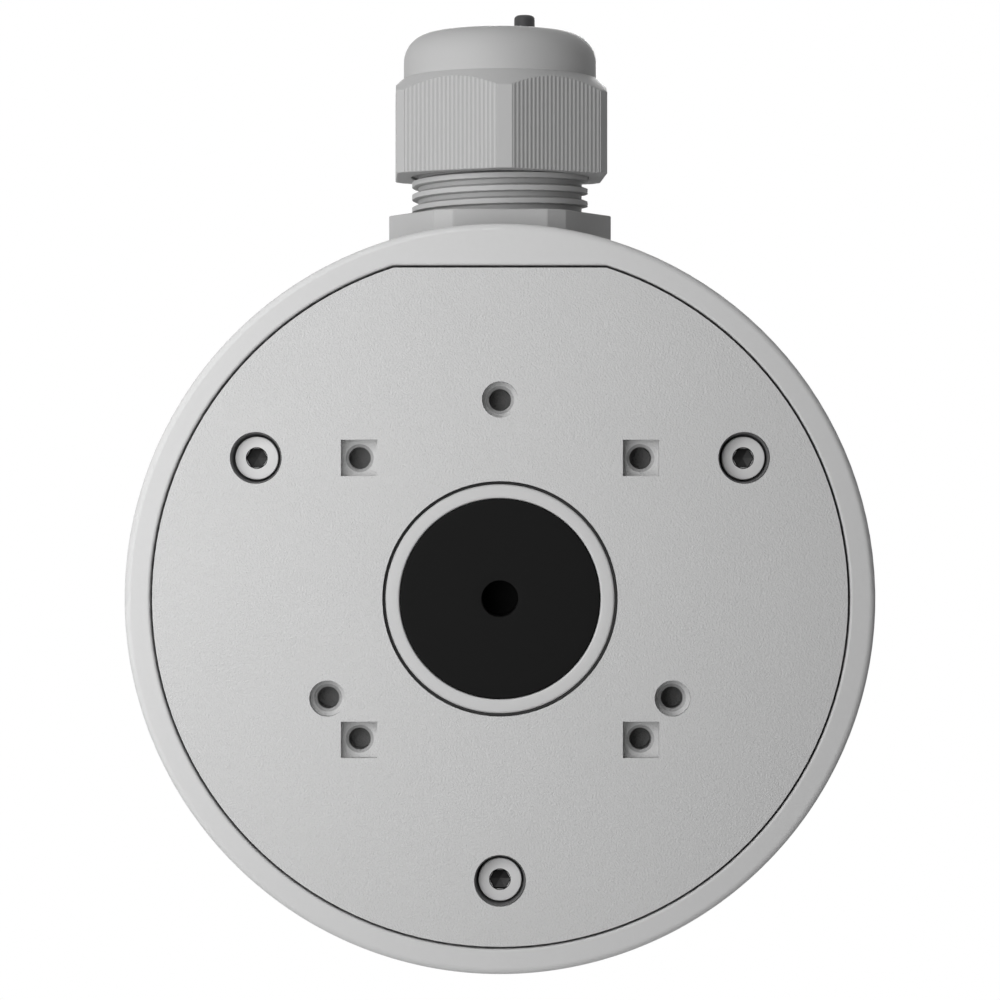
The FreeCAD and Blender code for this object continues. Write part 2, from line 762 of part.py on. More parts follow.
def make_gland_cage():
    """The clamping cage: a spigot, a ring and slotted fingers with tapered tips."""
    spigot_bottom = cage_ring_bottom - cage_spigot_length
    spigot = cage_bore_radius - cage_spigot_clearance
    ring = nut_bore_radius - cage_side_gap
    finger_inner = finger_radius - finger_thickness
    profile = [
        (spigot - cage_wall, spigot_bottom),
        (spigot, spigot_bottom),
        (spigot, cage_ring_bottom),
        (ring, cage_ring_bottom),
        (ring, cage_ring_top),
        (finger_radius, cage_ring_top),
        (finger_radius, finger_tip_base),
        (finger_radius - finger_tip_inset, finger_top),
        (finger_inner, finger_top),
        (finger_inner, cage_ring_top),
        (spigot - cage_wall, cage_ring_top),
    ]
    cage = turned_z(profile)
    half = finger_slot_width / 2
    for number in range(finger_count):
        slot = block(spigot - cage_wall, ring + 1, -half, half, cage_ring_top, finger_top + 1)
        slot.rotate(FreeCAD.Vector(0, 0, 0), Z_AXIS, 360.0 / finger_count * number)
        slot.translate(FreeCAD.Vector(0, gland_y, 0))
        cage = cage.cut(slot)
    return cage


def make_gland_insert():
    """The rubber insert inside the cage, with one hole for a cable and one for the pin."""
    bottom = cage_ring_bottom - cage_spigot_length
    lower = cage_bore_radius - cage_spigot_clearance - cage_wall - insert_clearance
    upper = finger_radius - finger_thickness - insert_clearance
    insert = turned_z(
        [
            (0, bottom),
            (lower, bottom),
            (lower, cage_ring_top + insert_clearance),
            (upper, cage_ring_top + insert_clearance),
            (upper, finger_top),
            (insert_top_radius, insert_top),
            (0, insert_top),
        ]
    )
    above = insert_top + 1
    insert = insert.cut(rod_z(-cable_hole_offset, gland_y, cable_hole_radius, bottom - 1, above))
    pin_hole = pin_radius + insert_clearance / 2
    return insert.cut(rod_z(pin_offset, gland_y, pin_hole, bottom - 1, above))


def make_gland_pin():
    """The blanking pin that closes the second hole of the insert."""
    bottom = cage_ring_bottom - cage_spigot_length - pin_below_insert
    pin = rod_z(pin_offset, gland_y, pin_radius, bottom, nut_top + pin_above_dome)
    ends = [edge for edge in pin.Edges if edge.BoundBox.ZLength < 1e-6]
    return pin.makeFillet(pin_edge_rounding, ends)


def make_rib_strip():
    """The ribs on one flat of the nut, as one outline pushed up the whole flat."""
    corner = nut_across_flats / math.sqrt(3)
    cut_off = (corner - nut_corner_distance) / math.cos(math.radians(30)) * 2
    half = corner / 2 - cut_off / 2 - nut_rib_margin
    pitch = 2 * half / nut_rib_count
    outer = nut_across_flats / 2
    root = outer - nut_rib_height
    rib = pitch * nut_rib_share / 2
    land = rib / 2
    ribs = []
    for number in range(nut_rib_count):
        middle = -half + pitch * (number + 0.5)
        points = [
            FreeCAD.Vector(root - 0.2, middle - rib, nut_bottom),
            FreeCAD.Vector(root, middle - rib, nut_bottom),
            FreeCAD.Vector(outer, middle - land, nut_bottom),
            FreeCAD.Vector(outer, middle + land, nut_bottom),
            FreeCAD.Vector(root, middle + rib, nut_bottom),
            FreeCAD.Vector(root - 0.2, middle + rib, nut_bottom),
        ]
        face = Part.Face(Part.makePolygon(points + points[:1]))
        ribs.append(face.extrude(Z_AXIS * nut_hex_height))
    return ribs


def make_nut_hexagon():
    """The ribbed hexagon of the nut, chamfered at its top by a cone."""
    base_flats = nut_across_flats - 2 * nut_rib_height
    prism = hexagon(base_flats, nut_corner_distance, nut_bottom, nut_hex_top, 0)
    ribs = []
    for side in range(6):
        for rib in make_rib_strip():
            rib.rotate(FreeCAD.Vector(0, 0, 0), Z_AXIS, 30 + 60 * side)
            rib.translate(FreeCAD.Vector(0, gland_y, 0))
            ribs.append(rib)
    prism = prism.fuse(ribs)
    wide = nut_corner_distance + 2
    top_drop = (wide - nut_chamfer_start) * math.tan(math.radians(nut_chamfer_slope))
    envelope = turned_z(
        [
            (0, nut_bottom),
            (wide, nut_bottom),
            (wide, nut_hex_top - top_drop),
            (nut_chamfer_start, nut_hex_top),
            (0, nut_hex_top),
        ]
    )
    prism = prism.common(envelope)
    prism.rotate(FreeCAD.Vector(0, gland_y, 0), Z_AXIS, nut_turned + 30)
    return prism


def make_gland_nut():
    """The dome nut: ribbed hexagon, dome, thread bore and the cone that closes the cage."""
    nut = make_nut_hexagon()
    dome = rod_z(0, gland_y, dome_radius, nut_bottom + 2, nut_top)
    crown = [edge for edge in dome.Edges if abs(edge.BoundBox.ZMin - nut_top) < 1e-6]
    dome = dome.makeFillet(dome_fillet, crown)
    nut = nut.fuse(dome)
    inside = turned_z(
        [
            (0, nut_bottom - 1),
            (nut_bore_radius, nut_bottom - 1),
            (nut_bore_radius, nut_bore_top),
            (dome_bore_radius, nut_bore_top),
            (dome_bore_radius, nut_cone_bottom),
            (dome_opening_radius, nut_cone_top),
            (dome_opening_radius, nut_top + 1),
            (0, nut_top + 1),
        ]
    )
    return nut.cut(inside)


def make_pieces():
    """Every piece by its name."""
    pieces = {
        "box_body": make_box_body(),
        "front_cover": make_front_cover(),
        "cover_seal": make_cover_seal(),
        "cable_collar": make_cable_collar(),
        "collar_seal": make_collar_seal(),
        "collar_nut": make_collar_nut(),
        "cable_plug": make_cable_plug(),
        "earth_screw": make_earth_screw(),
        "earth_washer": make_earth_washer(),
        "gland_body": make_gland_body(),
        "gland_washer": make_gland_washer(),
        "gland_cage": make_gland_cage(),
        "gland_insert": make_gland_insert(),
        "gland_pin": make_gland_pin(),
        "gland_nut": make_gland_nut(),
    }
    for number, (x, z) in enumerate(screw_places(), start=1):
        pieces[f"cover_screw_{number}"] = make_cover_screw(x, z)
        pieces[f"screw_seal_{number}"] = make_screw_seal(x, z)
        pieces[f"screw_clip_{number}"] = make_screw_clip(x, z)
    return pieces


def main():
    """Write each piece to its own file."""
    os.makedirs("parts", exist_ok=True)
    for name, shape in make_pieces().items():
        solid = shape.Solids[0]
        print(name, len(shape.Solids), "solid", shape.isValid(), round(shape.Volume, 1), "mm3")
        solid.exportStep(f"parts/{name}.step")


main()
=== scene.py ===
"""Looks of the camera junction box: painted castings, nylon cable gland, rubber plug and seals.

The CAD pieces carry procedural finishes. The gland's body, nut and pin, the collar and its seal,
the plug, and the cover screws and their cup seals are surfaces worked out on grids, with their
threads, ribs, lips and rounded edges.
Sizes are metres in the part's own frame: Z up along the gland, the cover looks along -Y.
"""

import math

import bpy
import numpy as np
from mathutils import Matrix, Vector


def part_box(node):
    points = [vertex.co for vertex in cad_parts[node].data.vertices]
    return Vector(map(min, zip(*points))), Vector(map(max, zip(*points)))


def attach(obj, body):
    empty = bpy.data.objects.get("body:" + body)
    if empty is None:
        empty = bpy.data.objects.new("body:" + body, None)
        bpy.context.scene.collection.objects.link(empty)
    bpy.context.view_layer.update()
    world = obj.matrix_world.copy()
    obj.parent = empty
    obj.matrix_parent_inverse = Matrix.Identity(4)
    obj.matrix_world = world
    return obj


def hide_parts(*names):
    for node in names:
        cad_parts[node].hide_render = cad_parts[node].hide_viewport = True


bl_info = {
    "name": "Camera junction box looks",
    "version": (1, 0, 0),
    "blender": (4, 5, 0),
    "location": "View3D > Sidebar > Junction box",
    "description": "Finishes, detailed pieces and studio for a round camera junction box",
    "category": "Object",
}

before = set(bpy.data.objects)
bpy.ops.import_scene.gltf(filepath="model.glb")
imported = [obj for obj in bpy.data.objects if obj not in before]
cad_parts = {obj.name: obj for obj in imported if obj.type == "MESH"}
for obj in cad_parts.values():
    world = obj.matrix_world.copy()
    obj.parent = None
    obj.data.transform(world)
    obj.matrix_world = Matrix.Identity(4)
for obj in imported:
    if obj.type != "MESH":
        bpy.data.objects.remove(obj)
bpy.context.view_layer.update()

MM = 0.001
TURN = 2 * math.pi
GLAND_Y = (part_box("gland_body")[0].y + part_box("gland_body")[1].y) / 2
FRONT_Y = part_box("front_cover")[0].y
FLANGE_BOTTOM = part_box("gland_washer")[1].z
THREAD_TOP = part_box("gland_body")[1].z
NUT_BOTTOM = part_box("gland_nut")[0].z
NUT_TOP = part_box("gland_nut")[1].z
COLLAR_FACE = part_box("cable_collar")[0].y
POCKET_DEPTH = 2.1 * MM


# Properties


def number(name, description, default, **more):
    """A property for a number."""
    return bpy.props.FloatProperty(name=name, description=description, default=default, **more)


def length(name, description, default):
    """A property for a length in metres."""
    return number(name, description, default, unit="LENGTH", precision=5)


def power(name, place, default):
    """A property for a lamp's power in watts."""
    return number(name, f"Power of the lamp {place}, in watts", default, min=0)


def colour(name, description, grey):
    """A property for a colour, given as red, green and blue."""
    return bpy.props.FloatVectorProperty(
        name=name, description=description, default=grey, subtype="COLOR", size=3, min=0, max=1
    )


class GlandSizes(bpy.types.PropertyGroup):
    """Sizes of the cable gland that a user may change."""

    thread_radius: length("Thread radius", "Radius over the nut thread's crests", 12.2 * MM)
    thread_depth: length("Thread depth", "Depth of the nut thread", 0.85 * MM)
    thread_pitch: length("Thread pitch", "Rise of the nut thread in one turn", 1.75 * MM)
    entry_radius: length("Entry radius", "Radius over the entry thread's crests", 12.4 * MM)
    entry_pitch: length("Entry pitch", "Rise of the entry thread in one turn", 1.5 * MM)
    flange_flats: length("Flange across flats", "Size of the body's hexagon", 28.0 * MM)
    flange_corner: length("Flange corner", "Distance to the flange's cut corners", 15.35 * MM)
    nut_flats: length("Nut across flats", "Size of the nut's hexagon over its ribs", 28.9 * MM)
    nut_corner: length("Nut corner", "Distance to the nut's cut corners", 16.1 * MM)
    rib_height: length("Rib height", "Depth of the grooves between the ribs", 0.06 * MM)
    dome_radius: length("Dome radius", "Radius of the nut's dome", 13.35 * MM)
    dome_fillet: length("Dome rounding", "Radius of the dome's upper edge", 4.0 * MM)
    chamfer_slope: number(
        "Chamfer slope", "Slope of the cone over the hexagon", math.radians(41.5), subtype="ANGLE"
    )
    rib_count: bpy.props.IntProperty(
        name="Ribs", description="Ribs on each flat of the nut", default=22, min=3, max=40
    )
    nut_turned: number(
        "Nut turned", "Turn of the nut's corner from the front", math.radians(2.15), subtype="ANGLE"
    )


class CoverSizes(bpy.types.PropertyGroup):
    """Sizes of the pieces in the cover that a user may change."""

    collar_head: length("Collar radius", "Radius of the collar's face", 15.25 * MM)
    collar_pocket: length("Pocket radius", "Radius of the collar's pocket", 13.4 * MM)
    collar_rounding: length("Collar rounding", "Radius of the collar's edges", 0.35 * MM)
    plug_hole: length("Plug hole", "Radius of the plug's cable hole", 2.445 * MM)
    plug_skin: length("Plug skin", "Thickness of the skin that closes the hole", 0.6 * MM)
    fixing_circle: length("Fixing circle", "Radius of the circle of fixing holes", 26.515 * MM)
    fixing_mouth: length("Hole mouth", "Radius of a fixing hole's bare mouth", 1.87 * MM)
    fixing_drill: length("Drilled hole", "Radius of a fixing hole's dark wall", 1.49 * MM)
    screw_head: length("Screw head", "Radius of a cover screw's head", 2.87 * MM)
    screw_thread: length("Screw thread", "Radius of a cover screw's thread", 1.5 * MM)
    socket_flats: length("Socket across flats", "Size of the hexagon socket", 2.5 * MM)
    socket_depth: length("Socket depth", "Depth of the hexagon socket", 1.6 * MM)


class Finishes(bpy.types.PropertyGroup):
    """Colours and textures of the finishes."""

    casting: colour("Casting", "Paint on the box", (0.62, 0.62, 0.62))
    cover: colour("Cover", "Paint on the cover", (0.595, 0.595, 0.595))
    collar: colour("Collar", "Paint on the collar", (0.585, 0.585, 0.585))
    nylon: colour("Gland nylon", "Nylon of the gland's body and nut", (0.475, 0.475, 0.475))
    inner_nylon: colour("Inner nylon", "Nylon of the cage and clips", (0.66, 0.65, 0.62))
    pin: colour("Pin", "Nylon of the blanking pin", (0.060, 0.060, 0.062))
    plug: colour("Plug rubber", "Rubber of the cable plug", (0.012, 0.012, 0.012))
    seal: colour("Seal rubber", "Rubber of the seals", (0.11, 0.11, 0.112))
    # Painted light: a lighter copy of the seal rubber, so the cups' shaded walls read grey.
    cup: colour("Cup rubber", "Rubber of the cups round the screws", (0.13, 0.13, 0.132))
    screw: colour("Screw coating", "Pale coating of the cover screws", (0.67, 0.67, 0.67))
    # Painted shade: the sockets' bare steel is near black so the deep socket reads dark.
    socket: colour("Socket shade tint", "Bare steel in the screws' sockets", (0.026, 0.026, 0.026))
    steel: colour("Steel", "Stainless steel of the earth screw", (0.62, 0.62, 0.61))
    alloy: colour("Alloy", "Bare turned alloy of the collar nut", (0.70, 0.71, 0.72))
    peel_size: length("Orange peel size", "Size of the bumps in the cover's paint", 0.25 * MM)
    peel_depth: length("Orange peel depth", "Height of the bumps in the cover's paint", 0.10 * MM)


class Studio(bpy.types.PropertyGroup):
    """Camera and lights."""

    camera_distance: length("Camera distance", "From the cover's face to the camera", 0.480)
    camera_height: length("Camera height", "Camera above the box's axis", 13.15 * MM)
    focal_length: number("Focal length", "Lens on a 36 mm wide sensor", 129.96, unit="CAMERA")
    near_power: power("Near power", "at the front left", 0.51)
    side_power: power("Side power", "on the left", 0.19)
    top_power: power("Top power", "above", 0.47)
    back_power: power("Back power", "behind the box", 2.0)
    room_light: number("Room light", "Strength of the even light of the room", 0.08, min=0)


# Shapes worked out on grids


def rounded(profile, radii, steps=5):
    """A profile of (radius, height) points with its corners rounded.

    Each corner becomes an arc of the given radius that touches both sides: its ends lie
    radius / tan(half the corner's angle) from the corner, and its points turn evenly between them.
    """
    points = np.array(profile, float)
    out = []
    for here, radius in enumerate(radii):
        corner = points[here]
        if radius <= 0 or here in (0, len(points) - 1):
            out.append(corner[None])
            continue
        back = points[here - 1] - corner
        ahead = points[here + 1] - corner
        back = back / np.hypot(*back)
        ahead = ahead / np.hypot(*ahead)
        half = math.acos(np.clip(back @ ahead, -1, 1)) / 2
        middle = back + ahead
        middle = middle / np.hypot(*middle)
        centre = corner + middle * radius / math.sin(half)
        first = corner + back * radius / math.tan(half) - centre
        last = corner + ahead * radius / math.tan(half) - centre
        share = np.linspace(0, 1, steps + 1)[:, None]
        sweep = math.pi - 2 * half
        arc = (np.sin((1 - share) * sweep) * first + np.sin(share * sweep) * last) / math.sin(sweep)
        out.append(centre + arc)
    return np.concatenate(out)


def spaced(profile, longest):
    """The same profile with points added so that no run is longer than the given length."""
    points = np.array(profile, float)
    runs = np.hypot(*np.diff(points, axis=0).T)
    counts = np.maximum(1, np.ceil(runs / longest)).astype(int)
    pieces = [
        a + (b - a) * np.linspace(0, 1, n, endpoint=False)[:, None]
        for a, b, n in zip(points[:-1], points[1:], counts)
    ]
    return np.concatenate(pieces + [points[-1:]])


def angles_with(count, marks=()):
    """Even angles round a full turn, with the marked angles added."""
    even = np.linspace(0, TURN, count, endpoint=False)
    return np.unique(np.round(np.mod(np.concatenate([even, np.asarray(marks, float)]), TURN), 7))


def around_z(angles, radius, height, x=0.0, y=0.0):
    """Points x + radius cos(angle), y + radius sin(angle), height, on a grid of rows and angles."""
    return np.stack(
        [x + radius * np.cos(angles), y + radius * np.sin(angles), height + 0 * radius], axis=-1
    )


def around_y(angles, radius, depth, x=0.0, z=0.0):
    """Points x + radius cos(angle), depth, z + radius sin(angle), on a grid of rows and angles."""
    return np.stack(
        [x + radius * np.cos(angles), depth + 0 * radius, z + radius * np.sin(angles)], axis=-1
    )


def surface(name, grid, ring=True, crease=32.0):
    """A closed mesh from grid[row, column]: columns go round, rows follow the profile.

    A ring profile joins its last row to its first. Otherwise both ends close in a middle point,
    the mean of their row. The faces are turned outwards where the signed volume, the sum of
    a . (b x c) / 6 over triangles, comes out negative.
    """
    rows, columns = grid.shape[:2]
    points = grid.reshape(-1, 3)
    index = np.arange(rows * columns).reshape(rows, columns)
    low = index if ring else index[:-1]
    high = np.roll(index, -1, axis=0) if ring else index[1:]
    quads = np.stack([low, np.roll(low, -1, 1), np.roll(high, -1, 1), high], -1).reshape(-1, 4)
    caps = np.zeros((0, 3), int)
    if not ring:
        ends = np.stack([grid[0].mean(0), grid[-1].mean(0)])
        points = np.concatenate([points, ends])
        start, end = np.full(columns, index.size), np.full(columns, index.size + 1)
        first = np.stack([np.roll(index[0], -1), index[0], start], -1)
        last = np.stack([index[-1], np.roll(index[-1], -1), end], -1)
        caps = np.concatenate([first, last])
    triangles = np.concatenate([quads[:, [0, 1, 2]], quads[:, [0, 2, 3]], caps])
    a, b, c = (points[triangles[:, k]] for k in range(3))
    if np.einsum("ij,ij->i", a, np.cross(b, c)).sum() < 0:
        quads = quads[:, ::-1]
        caps = caps[:, ::-1]
    mesh = bpy.data.meshes.new(name)
    mesh.from_pydata(points.tolist(), [], quads.tolist() + caps.tolist())
    mesh.update()
    mesh.polygons.foreach_set("use_smooth", np.ones(len(mesh.polygons), bool))
    mesh.set_sharp_from_angle(angle=math.radians(crease))
    piece = bpy.data.objects.new(name, mesh)
    bpy.context.scene.collection.objects.link(piece)
    return piece


def mark_painted_shade(piece, shares):
    """Keep a share of painted shade from 0 to 1 on each point of a ring surface, for its finish to read.
    """
    layer = piece.data.attributes.new("painted_shade", "FLOAT", "POINT")
    layer.data.foreach_set("value", np.clip(shares, 0, 1).ravel())


def cut_hexagon(angles, flats, corner, turned):
    """Radius of a hexagon with its corners cut flat, with a corner at the angle turned.

    It is the nearer of two sets of six planes, each at distance / cos(angle from its normal).
    """
    to_corner = np.mod(angles - turned + math.pi / 6, math.pi / 3) - math.pi / 6
    to_flat = np.mod(angles - turned, math.pi / 3) - math.pi / 6
    return np.minimum(flats / 2 / np.cos(to_flat), corner / np.cos(to_corner))


def corner_marks(flats, corner, turned):
    """Angles where the flats of a cut hexagon meet its corner faces."""
    half = math.atan((flats / 2 / corner - math.cos(math.pi / 6)) / math.sin(math.pi / 6))
    corners = turned + np.arange(6) * math.pi / 3
    return np.concatenate([corners - half, corners + half])


def helix_depth(angles, height, start, pitch, crest, root, upper_root=None):
    """How far down the flank of a right-hand thread each point lies, from 0 to 1.

    The distance from the nearest crest is (u - round(u)) pitch, where u = (height - start) / pitch
    - angle / turn. Its size counts evenly from the crest's half width to the root, and above the
    crest to the upper root where one is given.
    """
    u = (height - start) / pitch - angles / TURN
    away = (u - np.round(u)) * pitch
    foot = np.where(away > 0, upper_root or root, root)
    return np.clip((np.abs(away) - crest) / (foot - crest), 0, 1)


def stacked(rows, columns):
    """The radius at each row and column, and each row's height, from (radius, height) rows."""
    radius = np.stack([np.broadcast_to(radius, columns) for radius, _ in rows])
    return radius, np.array([height for _, height in rows])[:, None]


def turned(name, profile, count, around=around_y, middle=(0.0, 0.0), ring=True):
    """A turned piece: a profile of (radius, height) points carried round an axis."""
    angles = angles_with(count)
    return surface(name, around(angles, profile[:, :1] + 0 * angles, profile[:, 1:], *middle), ring)


# Finishes


def add_node(tree, kind, *values, **settings):
    """A new node with its settings. Its inputs in order take values, or are linked to sockets."""
    node = tree.nodes.new(kind)
    for name, value in settings.items():
        setattr(node, name, value)
    for socket, value in zip(node.inputs, values):
        if isinstance(value, bpy.types.NodeSocket):
            tree.links.new(value, socket)
        elif value is not None:
            socket.default_value = value
    return node


def new_group(name, more, masks=()):
    """An empty shader node group, the sockets it is given and the sockets it gives out.

    Every group takes coordinates, a tint, marks per metre, mottle and gloss. A tuple in more adds
    a colour socket and a number adds a float socket. Each mask is a further output.
    """
    group = bpy.data.node_groups.new(name, "ShaderNodeTree")
    group.interface.new_socket("Vector", in_out="INPUT", socket_type="NodeSocketVector")
    common = {"Tint": (0.5, 0.5, 0.5, 1), "Marks per metre": 5000.0, "Mottle": 0.1, "Gloss": 0.5}
    for label, value in {**common, **more}.items():
        kind = "NodeSocketColor" if isinstance(value, tuple) else "NodeSocketFloat"
        socket = group.interface.new_socket(label, in_out="INPUT", socket_type=kind)
        socket.default_value = value
    for label in ("Color", "Roughness", "Height", *masks):
        kind = "NodeSocketColor" if label == "Color" else "NodeSocketFloat"
        group.interface.new_socket(label, in_out="OUTPUT", socket_type=kind)
    given = group.nodes.new("NodeGroupInput")
    return group, given.outputs, group.nodes.new("NodeGroupOutput").inputs


def noise(tree, vector, scale, detail=2.0, roughness=0.5):
    """A noise texture read at these coordinates."""
    node = add_node(tree, "ShaderNodeTexNoise", vector, None, scale, detail, roughness)
    return node.outputs["Fac"]


def calculate(tree, operation, *values):
    """A math node on values or sockets."""
    return add_node(tree, "ShaderNodeMath", *values, operation=operation).outputs[0]


def blended(tree, share, first, second):
    """The first colour where the share is 0, and the second where it is 1."""
    return add_node(tree, "ShaderNodeMixRGB", share, first, second).outputs["Color"]


def scaled(tree, tint, factor):
    """A tint times a factor."""
    node = add_node(tree, "ShaderNodeVectorMath", tint, None, None, factor, operation="SCALE")
    return node.outputs[0]


def shaded(tree, tint, mask, shade):
    """A tint that is multiplied by the shade where the mask is 1."""
    less = calculate(tree, "SUBTRACT", shade, 1.0)
    return scaled(tree, tint, calculate(tree, "MULTIPLY_ADD", mask, less, 1.0))


def uneven(tree, middle, mask, amount):
    """A number made smaller and larger by a mask that lies round one half."""
    return calculate(tree, "MULTIPLY_ADD", calculate(tree, "SUBTRACT", mask, 0.5), amount, middle)


def give(group, out, **values):
    """Link a group's results to its output sockets."""
    for label, value in values.items():
        group.links.new(value, out[label])
    return group


def make_paint_group():
    """Powder coat: bumps of one size with finer ones on them, faint mottling, uneven gloss.

    Where the bare mask is 1 the machined alloy shows, with a darker tint that also stands in for
    the shade in the hole's mouth; where the deep mask is 1 the tint is darker again, painted shade
    inside the hole.
    """
    shades = {"Bare": 0.0, "Deep": 0.0, "Deep shade": 0.62, "Bare shade": 0.70}
    group, given, out = new_group("powder_coat", shades)
    bumps = noise(group, given["Vector"], given["Marks per metre"], detail=2.5, roughness=0.55)
    wide = noise(group, given["Vector"], 60.0, detail=3.0)
    specks = noise(group, given["Vector"], 5200.0, detail=1.0)
    height = calculate(group, "MULTIPLY_ADD", specks, 0.45, bumps)
    mask = calculate(group, "MULTIPLY_ADD", wide, 0.35, calculate(group, "MULTIPLY", bumps, 0.65))
    tint = scaled(group, given["Tint"], uneven(group, 1.0, mask, given["Mottle"]))
    # Painted shade in the fixing holes' mouths and drilled walls.
    for label in ("Bare", "Deep"):
        tint = shaded(group, tint, given[label], given[f"{label} shade"])
    gloss = uneven(group, given["Gloss"], wide, 0.2)
    return give(group, out, Color=tint, Roughness=gloss, Height=height)


def make_moulded_group():
    """Moulded nylon or rubber: a fine spark-eroded grain over slow, faint flow marks.

    Where the painted shade mask is 1, the tint is multiplied by its factor: painted shade in the gland's
    thread roots and rib grooves.
    """
    group, given, out = new_group("moulded_grain", {"Painted shade": 0.0, "Painted shade factor": 0.66})
    stretched = add_node(group, "ShaderNodeMapping", given["Vector"], None, None, (1, 1, 0.35))
    flow = noise(group, stretched.outputs["Vector"], 180.0, detail=4.0, roughness=0.6)
    grain = noise(group, given["Vector"], given["Marks per metre"], detail=2.0, roughness=0.6)
    tint = scaled(group, given["Tint"], uneven(group, 1.0, flow, given["Mottle"]))
    # Painted shade: darken the tint where the mask is 1.
    tint = shaded(group, tint, given["Painted shade"], given["Painted shade factor"])
    gloss = uneven(group, given["Gloss"], flow, 0.25)
    height = calculate(group, "MULTIPLY_ADD", flow, 0.4, grain)
    return give(group, out, Color=tint, Roughness=gloss, Height=height)


def make_turned_group():
    """Turned metal: fine rings about an axis along Y, broken by noise, and a bare core painted near black
    as shade.

    The core is where the distance from the axis is below the core's radius and Y is above its
    depth. It takes the shaded core tint, near black as painted shade, and comes out as a mask too.
    The glint is a painted highlight: a pale band of the core, where Y lies within the glint's half
    width of the glint's depth.
    """
    core_sizes = {"Core radius": 0.0, "Core depth": 0.0, "Glint depth": 0.0, "Glint width": 0.0}
    more = {"Shaded core tint": (0.05, 0.05, 0.05, 1), **core_sizes}
    group, given, out = new_group("turned_metal", more, ("Core",))
    x, y, z = add_node(group, "ShaderNodeSeparateXYZ", given["Vector"]).outputs
    squares = [calculate(group, "MULTIPLY", part, part) for part in (x, z)]
    across = calculate(group, "POWER", calculate(group, "ADD", *squares), 0.5)
    sloped = calculate(group, "MULTIPLY_ADD", y, 0.6, across)
    rings = calculate(group, "SINE", calculate(group, "MULTIPLY", sloped, given["Marks per metre"]))
    broken = noise(group, given["Vector"], 900.0, detail=3.0, roughness=0.6)
    inside = calculate(group, "LESS_THAN", across, given["Core radius"])
    deep = calculate(group, "GREATER_THAN", y, given["Core depth"])
    core = calculate(group, "MULTIPLY", inside, deep)
    away = calculate(group, "ABSOLUTE", calculate(group, "SUBTRACT", y, given["Glint depth"]))
    near = calculate(group, "LESS_THAN", away, given["Glint width"])
    painted_glint = calculate(group, "MULTIPLY", core, near)
    # Painted shade: the core takes the near black tint.
    tint = blended(group, core, given["Tint"], given["Shaded core tint"])
    # Painted highlight: a pale band at the socket's mouth.
    tint = blended(group, painted_glint, tint, (0.9, 0.9, 0.9, 1))
    tint = scaled(group, tint, uneven(group, 1.0, broken, given["Mottle"]))
    gloss = uneven(group, given["Gloss"], broken, 0.25)
    height = calculate(group, "MULTIPLY", rings, broken)
    return give(group, out, Color=tint, Roughness=gloss, Height=height, Core=core)


GROUP_MAKERS = {
    "powder_coat": make_paint_group,
    "moulded_grain": make_moulded_group,
    "turned_metal": make_turned_group,
}
SPECULAR = "Specular IOR Level"
WAXY = {SPECULAR: 0.4, "Subsurface Weight": 0.1, "Subsurface Scale": 0.001}
# Each finish's group, setting for its tint, height of its bumps in millimetres, then its marks per
# metre, mottle and gloss, and the Principled BSDF's own values.
FINISHES = {
    "casting_paint": ("powder_coat", "casting", 0.01, (1500.0, 0.05, 0.62), {SPECULAR: 0.25}),
    "cover_paint": ("powder_coat", "cover", 0.1, (4000.0, 0.16, 0.62), {SPECULAR: 0.25}),
    "collar_paint": ("powder_coat", "collar", 0.005, (1200.0, 0.03, 0.55), {SPECULAR: 0.3}),
    "gland_nylon": ("moulded_grain", "nylon", 0.004, (5200.0, 0.05, 0.58), {SPECULAR: 0.3}),
    "inner_nylon": ("moulded_grain", "inner_nylon", 0.004, (3600.0, 0.12, 0.5), WAXY),
    "pin_nylon": ("moulded_grain", "pin", 0.003, (5200.0, 0.1, 0.5), {SPECULAR: 0.3}),
    "plug_rubber": ("moulded_grain", "plug", 0.002, (2600.0, 0.15, 0.75), {SPECULAR: 0.03}),
    "seal_rubber": ("moulded_grain", "seal", 0.004, (3000.0, 0.25, 0.65), {SPECULAR: 0.25}),
    # Painted light: the seal rubber made lighter for the cups in the shaded counterbores.
    "cup_rubber_painted_light": ("moulded_grain", "cup", 0.004, (3000.0, 0.25, 0.65), {SPECULAR: 0.25}),
    "screw_coat": ("turned_metal", "screw", 0.0004, (9000.0, 0.04, 0.5), {SPECULAR: 0.35}),
    "earth_steel": ("turned_metal", "steel", 0.0006, (9000.0, 0.12, 0.34), {"Metallic": 1.0}),
    "bare_alloy": ("turned_metal", "alloy", 0.001, (7000.0, 0.12, 0.36), {"Metallic": 1.0}),
}


